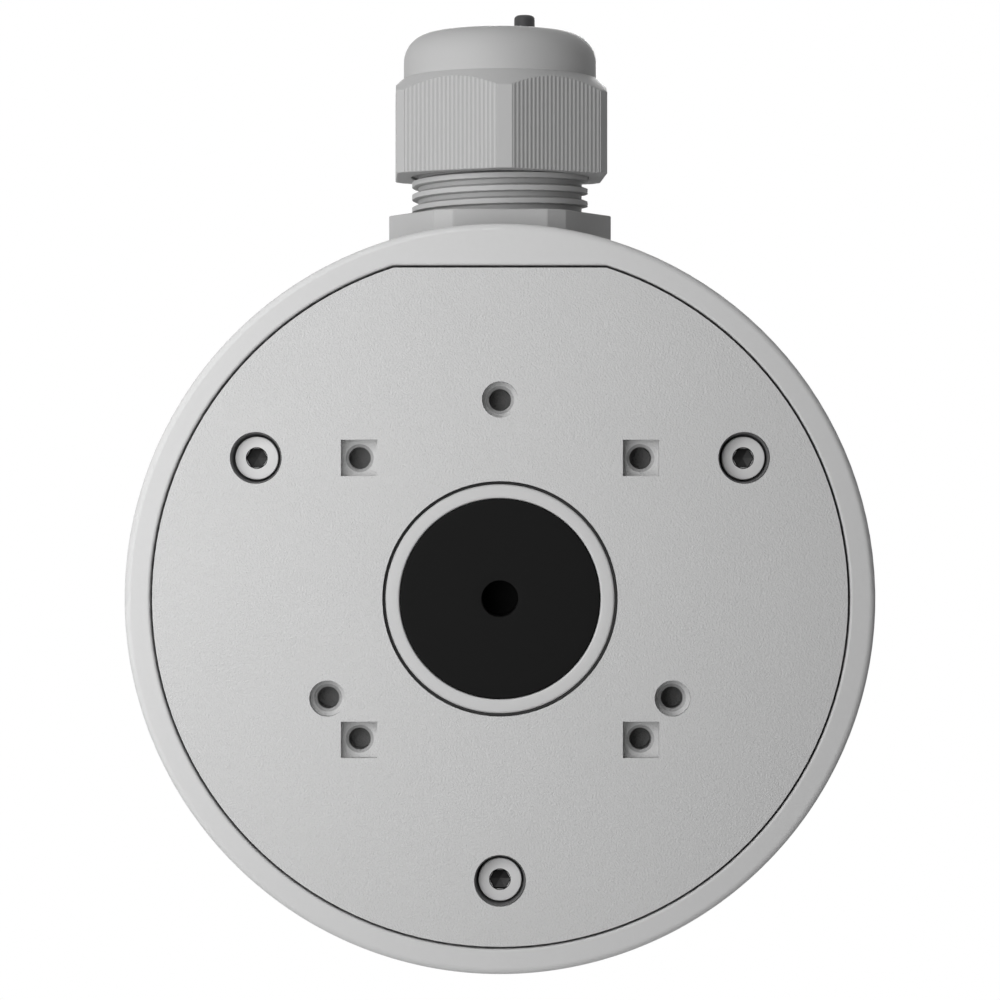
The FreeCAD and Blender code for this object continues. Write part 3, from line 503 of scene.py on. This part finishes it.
def finish(name, row=None, middle=(0, 0, 0)):
    """The material of a row of FINISHES, made once, with its pattern centred on the middle."""
    if name in bpy.data.materials:
        return bpy.data.materials[name]
    group_name, tint_name, depth, marks, shader = FINISHES[row or name]
    tint = (*getattr(bpy.context.scene.junction_finishes, tint_name), 1)
    group = bpy.data.node_groups.get(group_name) or GROUP_MAKERS[group_name]()
    material = bpy.data.materials.new(name)
    material.use_nodes = True
    material.diffuse_color = tint
    tree = material.node_tree
    tree.nodes.clear()
    place = add_node(tree, "ShaderNodeTexCoord", name="Place").outputs["Object"]
    centred = add_node(tree, "ShaderNodeMapping", place, [-value for value in middle]).outputs[0]
    effect = add_node(
        tree, "ShaderNodeGroup", centred, tint, *marks, node_tree=group, name="Effect"
    )
    bump = add_node(tree, "ShaderNodeBump", 1.0, depth * MM, name="Bumps")
    tree.links.new(effect.outputs["Height"], bump.inputs["Height"])
    body = add_node(tree, "ShaderNodeBsdfPrincipled", effect.outputs["Color"], name="Body")
    tree.links.new(effect.outputs["Roughness"], body.inputs["Roughness"])
    tree.links.new(bump.outputs["Normal"], body.inputs["Normal"])
    for label, value in shader.items():
        body.inputs[label].default_value = value
    add_node(tree, "ShaderNodeOutputMaterial", body.outputs["BSDF"])
    return material


def fixing_places(sizes):
    """The seven fixing holes on one circle: from 45 degrees every 90, and from 90 every 120."""
    turns = [math.radians(degrees) for degrees in (45, 135, 225, 315, 90, 210, 330)]
    return [(sizes.fixing_circle * math.cos(a), sizes.fixing_circle * math.sin(a)) for a in turns]


def cover_paint(sizes):
    """Powder coat of the cover: a fine orange peel, and bare alloy in the fixing holes, darkened as
    painted shade.

    The bare mask is 1 where the distance from the nearest hole's axis is below the mouth's radius,
    and the deep mask where it is below the drilled radius, as far down as the holes are blind.
    """
    if "cover_paint" in bpy.data.materials:
        return bpy.data.materials["cover_paint"]
    looks = bpy.context.scene.junction_finishes
    material = finish("cover_paint")
    tree = material.node_tree
    effect = tree.nodes["Effect"]
    effect.inputs["Marks per metre"].default_value = 1 / looks.peel_size
    tree.nodes["Bumps"].inputs["Distance"].default_value = looks.peel_depth
    x, y, z = add_node(tree, "ShaderNodeSeparateXYZ", tree.nodes["Place"].outputs["Object"]).outputs
    flat = add_node(tree, "ShaderNodeCombineXYZ", x, 0.0, z).outputs[0]
    nearest = 1.0
    for across, up in fixing_places(sizes):
        gap = add_node(tree, "ShaderNodeVectorMath", flat, (across, 0, up), operation="DISTANCE")
        nearest = calculate(tree, "MINIMUM", nearest, gap.outputs["Value"])
    # Painted shade: the holes' bare mouths are darkened, and their drilled walls and floors more.
    hole_floor = FRONT_Y + 7.6 * MM
    shallow = calculate(tree, "LESS_THAN", y, hole_floor)
    for label, radius in (("Bare", sizes.fixing_mouth), ("Deep", sizes.fixing_drill)):
        inside = calculate(tree, "LESS_THAN", nearest, radius)
        tree.links.new(calculate(tree, "MULTIPLY", inside, shallow), effect.inputs[label])
    return material


def gland_nylon():
    """Grey moulded nylon, with painted shade where its piece's painted_shade attribute says so."""
    if "gland_nylon" in bpy.data.materials:
        return bpy.data.materials["gland_nylon"]
    material = finish("gland_nylon")
    tree = material.node_tree
    # Painted shade, read from the piece's own attribute.
    painted_shade = add_node(tree, "ShaderNodeAttribute", attribute_name="painted_shade")
    tree.links.new(painted_shade.outputs["Fac"], tree.nodes["Effect"].inputs["Painted shade"])
    return material


def screw_coat(number, middle, sizes):
    """Pale coating of a cover screw over bare steel in its socket, painted near black as shade, with a
    painted highlight ring at the socket's mouth.
    """
    name = f"screw_coat_{number}"
    if name in bpy.data.materials:
        return bpy.data.materials[name]
    material = finish(name, "screw_coat", middle)
    tree = material.node_tree
    effect = tree.nodes["Effect"]
    # Painted shade in the socket and a painted highlight at its mouth.
    socket = {
        "Shaded core tint": (*bpy.context.scene.junction_finishes.socket, 1),
        "Core radius": sizes.socket_flats * 0.62,
        "Core depth": 0.05 * MM,
        "Glint depth": 0.21 * MM,
        "Glint width": 0.06 * MM,
    }
    for label, value in socket.items():
        effect.inputs[label].default_value = value
    tree.links.new(effect.outputs["Core"], tree.nodes["Body"].inputs["Metallic"])
    return material


def dress(node_name, material):
    """Give a CAD node this material in all its slots."""
    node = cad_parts[node_name]
    if not node.data.materials:
        node.data.materials.append(material)
    for slot in node.material_slots:
        slot.material = material


def settle(piece, body, node_name, material):
    """Give a finished piece its material and its body, and hide the CAD node it stands for."""
    piece.data.materials.append(material)
    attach(piece, body)
    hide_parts(node_name)


# Pieces


class JUNCTION_OT_castings(bpy.types.Operator):
    """Paint the box and the cover, and give the seals and washers behind them their rubber"""

    bl_idname = "junction.castings"
    bl_label = "Paint the castings"

    def execute(self, context):
        dress("box_body", finish("casting_paint"))
        dress("front_cover", cover_paint(context.scene.junction_cover))
        for name in ("cover_seal", "gland_washer"):
            dress(name, finish("seal_rubber"))
        return {"FINISHED"}


def make_gland_body(sizes):
    """The gland's body as one closed profile carried round the axis.

    Below the flange the radius is the entry thread's: outer radius - depth * helix_depth. The
    flange is a cut hexagon, and above it the nut thread runs to the chamfered top. The passage closes the
    profile on the inside.
    """
    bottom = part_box("gland_body")[0].z
    flange_top = FLANGE_BOTTOM + 5.0 * MM
    edge, lead_in = 0.12 * MM, 0.8 * MM
    marks = corner_marks(sizes.flange_flats, sizes.flange_corner, 0)
    angles = angles_with(288, marks)
    hexagon = cut_hexagon(angles, sizes.flange_flats, sizes.flange_corner, 0)
    rows = []

    depth, crest, root = 0.75 * MM, 0.16 * MM, 0.62 * MM
    for height in np.linspace(bottom, FLANGE_BOTTOM, 80):
        down = helix_depth(angles, height, bottom, sizes.entry_pitch, crest, root)
        lead = lead_in * (1 - np.clip((height - bottom) / lead_in, 0, 1))
        rows.append((sizes.entry_radius - np.maximum(depth * down, lead), height))
    rows += [(hexagon - edge, FLANGE_BOTTOM), (hexagon, FLANGE_BOTTOM + edge)]
    rows += [(hexagon, flange_top - edge), (hexagon - edge, flange_top)]

    crest, root, upper_root = 0.34 * MM, 0.47 * MM, 0.67 * MM
    start = flange_top + 1.71 * MM
    downs = []
    for height in np.linspace(flange_top, THREAD_TOP, 220):
        down = helix_depth(angles, height, start, sizes.thread_pitch, crest, root, upper_root)
        lead = lead_in * (1 - np.clip((THREAD_TOP - height) / lead_in, 0, 1))
        rows.append((sizes.thread_radius - np.maximum(sizes.thread_depth * down, lead), height))
        downs.append(down)

    bore, passage, shelf = 9.6 * MM, 8.6 * MM, THREAD_TOP - 8.3 * MM
    chamfer = 0.3 * MM
    inside = [
        (bore + chamfer, THREAD_TOP),
        (bore, THREAD_TOP - chamfer),
        (bore, shelf),
        (passage, shelf),
        (passage, bottom + chamfer),
        (passage + chamfer, bottom),
    ]
    radius, height = stacked(rows + inside, len(angles))
    piece = surface("gland_body_threaded", around_z(angles, radius, height, 0, GLAND_Y))
    # Painted shade in the thread's roots: 0.95 times how far down the flank each point lies.
    shares = np.zeros_like(radius)
    shares[-len(inside) - len(downs) : -len(inside)] = 0.95 * np.array(downs)
    mark_painted_shade(piece, shares)
    return piece


def rib_angles(sizes, turn):
    """Angles of the nut's columns: eleven to a rib and groove, at atan(offset / half the flats)."""
    half_strip = math.atan((sizes.nut_flats / 2 / sizes.nut_corner - math.cos(math.pi / 6)) * 2)
    half = sizes.nut_flats / 2 * math.tan(math.pi / 6 - half_strip)
    pitch = 2 * half / sizes.rib_count
    shares = np.array([0.0, 0.08, 0.16, 0.24, 0.32, 0.42, 0.58, 0.68, 0.76, 0.84, 0.92])
    offsets = (-half + pitch * (np.arange(sizes.rib_count)[:, None] + shares)).ravel()
    on_face = np.arctan(np.append(offsets, half) / (sizes.nut_flats / 2))
    in_strip = np.linspace(-half_strip, half_strip, 5)[1:-1]
    corners = turn + np.arange(6)[:, None] * math.pi / 3
    on_flats = (corners + math.pi / 6 + on_face).ravel()
    angles = np.concatenate([on_flats, (corners + in_strip).ravel()])
    return np.unique(np.round(np.mod(angles, TURN), 8)), half, pitch


def make_gland_nut(sizes):
    """The nut as one closed profile carried round the axis, with its ribs in the radius.

    On a flat, the plane's distance drops by the groove's depth times
    1/2 + 0.85 cos(2 pi (offset + half) / pitch), kept from 0 to 1, so that ribs and grooves are
    rounded. A cone cuts the hexagon's upper end, and the dome above it is a plain turned profile
    with a rounded shoulder.
    """
    turn = math.radians(30) + sizes.nut_turned
    angles, half, pitch = rib_angles(sizes, turn)
    hexagon = cut_hexagon(angles, sizes.nut_flats, sizes.nut_corner, turn)
    from_face = np.mod(angles - turn, math.pi / 3) - math.pi / 6
    offset = sizes.nut_flats / 2 * np.tan(from_face)
    wave = np.clip(0.5 + 0.85 * np.cos(TURN * (offset + half) / pitch), 0, 1)
    wave = wave * (np.abs(offset) < half - 1e-9)
    groove = (sizes.nut_flats / 2 - sizes.rib_height * wave) / np.cos(from_face)
    ribbed = np.minimum(np.where(wave > 0, groove, hexagon), hexagon)

    edge = 0.1 * MM
    hex_top = NUT_BOTTOM + 13.85 * MM
    cone_start = sizes.dome_radius - 0.15 * MM
    slope = math.tan(sizes.chamfer_slope)
    cone_low = hex_top - (sizes.nut_corner + 0.2 * MM - cone_start) * slope
    cone_high = hex_top - (sizes.dome_radius - cone_start) * slope
    rows = [(ribbed - edge, NUT_BOTTOM), (ribbed, NUT_BOTTOM + edge)]
    for height in np.linspace(cone_low, cone_high, 24):
        rows.append((np.minimum(ribbed, cone_start + (hex_top - height) / slope), height))

    mouth, bore, relief = 8.8 * MM, 12.3 * MM, 11.7 * MM
    thread_end = NUT_BOTTOM + 11.85 * MM
    dome = [
        (sizes.dome_radius, cone_high + 0.05 * MM),
        (sizes.dome_radius, NUT_TOP),
        (mouth + 0.2 * MM, NUT_TOP),
        (mouth, NUT_TOP - 0.2 * MM),
    ]
    rows += list(rounded(dome, [0, sizes.dome_fillet, 0.1 * MM, 0], 14))
    rows += [
        (mouth, NUT_TOP - 0.9 * MM),
        (relief, NUT_TOP - 4.7 * MM),
        (relief, thread_end),
        (bore, thread_end),
        (bore, NUT_BOTTOM + edge),
        (bore + edge, NUT_BOTTOM),
    ]
    radius, height = stacked(rows, len(angles))
    piece = surface("gland_nut_ribbed", around_z(angles, radius, height, 0, GLAND_Y), crease=38)
    # Painted shade in the grooves between the ribs: 0.6 times the groove's depth.
    mark_painted_shade(piece, 0.6 * wave * np.isclose(radius, ribbed, atol=0.001 * MM))
    return piece


def make_pin():
    """The blanking pin: a turned profile with both ends rounded, closed at its middle."""
    low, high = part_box("gland_pin")
    middle = (low + high) / 2
    radius, centre, fillet = (high.x - low.x) / 2, 0.2 * MM, 0.57 * MM
    corners = [(centre, low.z), (radius, low.z), (radius, high.z), (centre, high.z)]
    profile = rounded(corners, [0, fillet, fillet, 0], 7)
    return turned("gland_pin_rounded", profile, 64, around_z, (middle.x, middle.y), ring=False)


class JUNCTION_OT_gland(bpy.types.Operator):
    """Make the cable gland: threaded body, ribbed dome nut, pin, cage and insert"""

    bl_idname = "junction.gland"
    bl_label = "Make the gland"

    def execute(self, context):
        sizes = context.scene.junction_gland
        settle(make_gland_body(sizes), "box", "gland_body", gland_nylon())
        settle(make_gland_nut(sizes), "gland_nut", "gland_nut", gland_nylon())
        settle(make_pin(), "gland_clamp", "gland_pin", finish("pin_nylon"))
        dress("gland_cage", finish("inner_nylon"))
        dress("gland_insert", finish("seal_rubber"))
        return {"FINISHED"}


def make_collar(sizes):
    """The collar: its turned profile with rounded edges and a thread on the barrel.

    The thread lowers the barrel's radius by depth times helix_depth.
    """
    low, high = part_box("cable_collar")
    face, end = low.y, high.y
    head_bottom = FRONT_Y + 3.6 * MM
    pocket_floor = face + POCKET_DEPTH
    barrel, bore = 13.0 * MM, 10.8 * MM
    angles = angles_with(192)
    front = rounded(
        [
            (sizes.collar_pocket, pocket_floor),
            (sizes.collar_pocket, face),
            (sizes.collar_head, face),
            (sizes.collar_head, head_bottom),
            (barrel, head_bottom),
        ],
        [0, sizes.collar_rounding * 0.8, sizes.collar_rounding, 0.15 * MM, 0],
        6,
    )
    pitch, depth, crest, root = 1.0 * MM, 0.5 * MM, 0.12 * MM, 0.44 * MM
    rows = list(front)
    for height in np.linspace(head_bottom + 0.1 * MM, end - 0.1 * MM, 90):
        down = helix_depth(angles, height, head_bottom, pitch, crest, root)
        rows.append((barrel - depth * down, height))
    rows += [(barrel - 0.6 * MM, end), (bore, end), (bore, pocket_floor)]
    radius, height = stacked(rows, len(angles))
    return surface("cable_collar_rounded", around_y(angles, radius, height))


def make_collar_seal(sizes):
    """The ring under the collar's head, with a thin lip that stands up in the gap round it."""
    low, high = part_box("collar_seal")
    bore = 13.1 * MM
    inner, outer = sizes.collar_head + 0.05 * MM, sizes.collar_head + 0.36 * MM
    lip = COLLAR_FACE + 0.28 * MM
    corners = [(bore, high.y), (bore, low.y), (inner, low.y), (inner, lip), (outer, lip)]
    radii = [0, 0, 0, 0.1 * MM, 0.12 * MM, 0]
    return turned("collar_seal_lipped", rounded(corners + [(outer, high.y)], radii, 4), 160)


def make_screw_seal(number, sizes):
    """The cup seal round a cover screw's head, turned about the screw's axis.

    Its wall lines the counterbore and thins towards the face: the inner radius grows in a
    straight line from just outside the head to just inside the counterbore.
    """
    low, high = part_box(f"screw_seal_{number}")
    middle = (low + high) / 2
    outer = (high.x - low.x) / 2
    floor, rim = high.y - 0.4 * MM, FRONT_Y + 0.35 * MM
    clearance = 0.07 * MM
    head, stem = sizes.screw_head + clearance, sizes.screw_thread + clearance
    profile = rounded(
        [
            (stem, high.y),
            (stem, floor),
            (head, floor),
            (head, low.y + 1.0 * MM),
            (head + 0.2 * MM, low.y + 0.6 * MM),
            (outer - 0.1 * MM, rim),
            (outer, rim),
            (outer, high.y),
        ],
        [0, 0, 0.05 * MM, 0.05 * MM, 0.1 * MM, 0.03 * MM, 0.04 * MM, 0],
        4,
    )
    return turned(f"screw_seal_{number}_cup", profile, 120, middle=(middle.x, middle.z))


def make_plug(sizes):
    """The plug: a turned profile with a rounded face, snap lip and a neck closed by a skin."""
    low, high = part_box("cable_plug")
    face, tip = low.y, high.y
    floor = COLLAR_FACE + POCKET_DEPTH
    end, neck_end = tip - 1.6 * MM, floor + 8.0 * MM
    disc, skirt, neck = sizes.collar_pocket - 0.1 * MM, 10.7 * MM, 4.6 * MM
    hole, skin = sizes.plug_hole, neck_end - sizes.plug_skin
    centre = 0.1 * MM
    corners_and_radii = [
        (centre, skin, 0),
        (hole, skin, 0.2),
        (hole, face, 0.12),
        (disc, face, 0.25),
        (disc, floor, 0.1),
        (skirt, floor, 0),
        (skirt, end, 0.2),
        (skirt + 1.0 * MM, end, 0.3),
        (skirt - 1.0 * MM, tip, 0.3),
        (skirt - 2.0 * MM, tip, 0.3),
        (skirt - 2.0 * MM, floor, 0.5),
        (neck, floor, 0.5),
        (neck, neck_end, 0.6),
        (centre, neck_end, 0),
    ]
    corners = [(radius, height) for radius, height, _ in corners_and_radii]
    profile = rounded(corners, [fillet * MM for _, _, fillet in corners_and_radii], 5)
    return turned("cable_plug_moulded", spaced(profile, 1.5 * MM), 160, ring=False)


def make_cover_screw(number, sizes):
    """A socket screw as one profile from the socket's floor to the tip, and its head's middle.

    In the socket the radius is the larger of the hexagon's and a small cone's at the mouth. The
    head is turned with a rounded edge, and the shank carries a right-hand thread about an axis
    along -Y.
    """
    name = f"cover_screw_{number}"
    low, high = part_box(name)
    middle = (low + high) / 2
    top, tip = low.y, high.y
    head_bottom = top + 3.0 * MM
    angles = angles_with(120, np.arange(6) * math.pi / 3)
    hexagon = sizes.socket_flats / 2 / np.cos(np.mod(angles, math.pi / 3) - math.pi / 6)
    floor = top + sizes.socket_depth
    rows = [
        (hexagon * 0.02, floor + 0.45 * MM),
        (hexagon * 0.98, floor),
        (hexagon, floor - 0.05 * MM),
    ]
    mouth = sizes.socket_flats / math.sqrt(3) + 0.04 * MM
    for depth in np.linspace(0.32, 0.0, 9) * MM:
        rows.append((np.maximum(hexagon, mouth - depth * 0.9), top + depth))
    head = [
        (mouth, top),
        (sizes.screw_head, top),
        (sizes.screw_head, head_bottom),
        (sizes.screw_thread + 0.12 * MM, head_bottom),
    ]
    rows += list(rounded(head, [0, 0.14 * MM, 0.12 * MM, 0]))[1:]
    pitch, depth, crest, root, point = 0.5 * MM, 0.28 * MM, 0.06 * MM, 0.22 * MM, 0.35 * MM
    for height in np.linspace(head_bottom + 0.15 * MM, tip, 130):
        down = helix_depth(-angles, height, head_bottom, pitch, crest, root)
        taper = point * np.clip(1 - (tip - height) / point, 0, 1)
        rows.append((sizes.screw_thread - np.maximum(depth * down, taper), height))
    radius, height = stacked(rows, len(angles))
    grid = around_y(angles, radius, height, middle.x, middle.z)
    return surface(f"{name}_turned", grid, ring=False), (middle.x, top, middle.z)


class JUNCTION_OT_cable_opening(bpy.types.Operator):
    """Make the collar and the rubber plug in the middle of the cover"""

    bl_idname = "junction.cable_opening"
    bl_label = "Make the cable opening"

    def execute(self, context):
        sizes = context.scene.junction_cover
        settle(make_collar(sizes), "box", "cable_collar", finish("collar_paint"))
        settle(make_plug(sizes), "box", "cable_plug", finish("plug_rubber"))
        settle(make_collar_seal(sizes), "box", "collar_seal", finish("seal_rubber"))
        dress("collar_nut", finish("bare_alloy"))
        return {"FINISHED"}


class JUNCTION_OT_screws(bpy.types.Operator):
    """Make the three cover screws, and finish their seals and clips and the earth terminal"""

    bl_idname = "junction.screws"
    bl_label = "Make the screws"

    def execute(self, context):
        sizes = context.scene.junction_cover
        for number in (1, 2, 3):
            body = f"screw_{number}"
            piece, middle = make_cover_screw(number, sizes)
            coat = screw_coat(number, middle, sizes)
            settle(piece, body, f"cover_screw_{number}", coat)
            cup = make_screw_seal(number, sizes)
            rubber = finish("cup_rubber_painted_light")
            settle(cup, f"{body}_carrier", f"screw_seal_{number}", rubber)
            dress(f"screw_clip_{number}", finish("inner_nylon"))
        low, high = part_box("earth_screw")
        middle = ((low.x + high.x) / 2, low.y, (low.z + high.z) / 2)
        for name in ("earth_screw", "earth_washer"):
            dress(name, finish("earth_steel", middle=middle))
        return {"FINISHED"}


# Studio


def add_lamp(name, watts, size, place, aim):
    """A square area lamp at a place, turned to look at a point."""
    light = bpy.data.lights.new(name, "AREA")
    light.energy = watts
    light.shape = "SQUARE"
    light.size = size
    lamp = bpy.data.objects.new(name, light)
    bpy.context.scene.collection.objects.link(lamp)
    lamp.location = place
    lamp.visible_camera = False
    x, y, z = (b - a for a, b in zip(place, aim))
    lamp.rotation_euler = (math.atan2(math.hypot(x, y), -z), 0, math.atan2(-x, y))


def make_room(strength):
    """A world that lights evenly and looks white to the camera, in gloss and through glass."""
    world = bpy.data.worlds.new("studio_room")
    world.use_nodes = True
    tree = world.node_tree
    tree.nodes.clear()
    rays = tree.nodes.new("ShaderNodeLightPath")
    shown = calculate(tree, "MAXIMUM", rays.outputs["Is Camera Ray"], rays.outputs["Is Glossy Ray"])
    shown = calculate(tree, "MAXIMUM", shown, rays.outputs["Is Transmission Ray"])
    dim = add_node(tree, "ShaderNodeBackground", (1, 1, 1, 1), strength).outputs[0]
    white = add_node(tree, "ShaderNodeBackground", (1, 1, 1, 1), 1.0).outputs[0]
    mix = add_node(tree, "ShaderNodeMixShader", shown, dim, white)
    add_node(tree, "ShaderNodeOutputWorld", mix.outputs[0])
    bpy.context.scene.world = world


def floor_material():
    """A pale floor that keeps the shadow near the object and turns white away from it."""
    material = bpy.data.materials.new("pale_floor")
    material.use_nodes = True
    tree = material.node_tree
    tree.nodes.clear()
    place = tree.nodes.new("ShaderNodeTexCoord").outputs["Object"]
    away = add_node(tree, "ShaderNodeVectorMath", place, operation="LENGTH").outputs["Value"]
    fade_start, fade_end, least = 0.32, 0.60, 0.62
    fade = add_node(
        tree,
        "ShaderNodeMapRange",
        away,
        fade_start,
        fade_end,
        least,
        interpolation_type="SMOOTHSTEP",
    )
    rays = tree.nodes.new("ShaderNodeLightPath")
    seen = calculate(tree, "MULTIPLY", fade.outputs[0], rays.outputs["Is Camera Ray"])
    matt = add_node(tree, "ShaderNodeBsdfDiffuse", (0.86, 0.86, 0.86, 1)).outputs[0]
    glow = add_node(tree, "ShaderNodeEmission", (1, 1, 1, 1), 1.0).outputs[0]
    mix = add_node(tree, "ShaderNodeMixShader", seen, matt, glow)
    add_node(tree, "ShaderNodeOutputMaterial", mix.outputs[0])
    return material


def make_floor(level, reach):
    """A round floor: points reach * share * (cos, sin) of the angle at one level."""
    count = 96
    angles = np.linspace(0, TURN, count, endpoint=False)
    rings = reach * np.array([0.02, 0.3, 0.6, 1.0])[:, None]
    grid = np.stack([rings * np.cos(angles), rings * np.sin(angles)], -1)
    points = np.concatenate([grid.reshape(-1, 2), np.zeros((1, 2))])
    points = np.column_stack([points, np.full(len(points), level)])
    index = np.arange(len(rings) * count).reshape(-1, count)
    after = np.roll(index, -1, 1)
    quads = np.stack([index[:-1], index[1:], after[1:], after[:-1]], -1)
    middle = np.stack([np.full(count, index.size), index[0], after[0]], -1)
    mesh = bpy.data.meshes.new("studio_floor")
    mesh.from_pydata(points.tolist(), [], quads.reshape(-1, 4).tolist() + middle.tolist())
    floor = bpy.data.objects.new("studio_floor", mesh)
    bpy.context.scene.collection.objects.link(floor)
    floor.data.materials.append(floor_material())


class JUNCTION_OT_studio(bpy.types.Operator):
    """Set up the camera, the soft lamps, the pale floor and the white room"""

    bl_idname = "junction.studio"
    bl_label = "Set up the studio"

    def execute(self, context):
        studio = context.scene.junction_studio
        data = bpy.data.cameras.new("front_camera")
        data.sensor_width = 36.0
        data.lens = studio.focal_length
        data.clip_start = 0.01
        camera = bpy.data.objects.new("front_camera", data)
        context.scene.collection.objects.link(camera)
        camera.location = (0, FRONT_Y - studio.camera_distance, studio.camera_height)
        camera.rotation_euler = (math.pi / 2, 0, 0)
        context.scene.camera = camera
        for name, watts, size, place, aim in (
            ("near_lamp", studio.near_power, 0.22, (-0.12, -0.225, 0.045), (-0.1, 0, 0.025)),
            ("side_lamp", studio.side_power, 0.15, (-0.29, -0.08, 0.07), (0, -0.03, 0.03)),
            ("top_lamp", studio.top_power, 0.30, (-0.07, -0.08, 0.5), (0, -0.03, 0.04)),
            ("back_lamp", studio.back_power, 0.20, (0.03, 0.48, 0.175), (0, 0, 0.02)),
        ):
            add_lamp(name, watts, size, place, aim)
        make_room(studio.room_light)
        make_floor(level=-0.20, reach=1.2)
        context.scene.view_settings.view_transform = "Standard"
        return {"FINISHED"}


class JUNCTION_PT_panel(bpy.types.Panel):
    """Buttons and settings of the junction box"""

    bl_idname = "JUNCTION_PT_panel"
    bl_label = "Junction box"
    bl_space_type = "VIEW_3D"
    bl_region_type = "UI"
    bl_category = "Junction box"

    def draw(self, context):
        for operator in OPERATORS:
            self.layout.operator(operator.bl_idname)
        for settings in PROPERTY_GROUPS:
            column = self.layout.column(align=True)
            group = getattr(context.scene, settings)
            for name in group.bl_rna.properties.keys():
                if name not in ("rna_type", "name"):
                    column.prop(group, name)


PROPERTY_GROUPS = {
    "junction_gland": GlandSizes,
    "junction_cover": CoverSizes,
    "junction_finishes": Finishes,
    "junction_studio": Studio,
}
OPERATORS = (
    JUNCTION_OT_studio,
    JUNCTION_OT_castings,
    JUNCTION_OT_cable_opening,
    JUNCTION_OT_screws,
    JUNCTION_OT_gland,
)
CLASSES = (*PROPERTY_GROUPS.values(), *OPERATORS, JUNCTION_PT_panel)


def register():
    """Register the classes and hang the settings on the scene."""
    for item in CLASSES:
        bpy.utils.register_class(item)
    for name, group in PROPERTY_GROUPS.items():
        setattr(bpy.types.Scene, name, bpy.props.PointerProperty(type=group))


def unregister():
    """Take the settings and the classes away again."""
    for name in PROPERTY_GROUPS:
        delattr(bpy.types.Scene, name)
    for item in reversed(CLASSES):
        bpy.utils.unregister_class(item)


def main():
    """Make everything in order."""
    register()
    bpy.ops.junction.studio()
    bpy.ops.junction.castings()
    bpy.ops.junction.cable_opening()
    bpy.ops.junction.screws()
    bpy.ops.junction.gland()


if __name__ == "__main__":
    main()
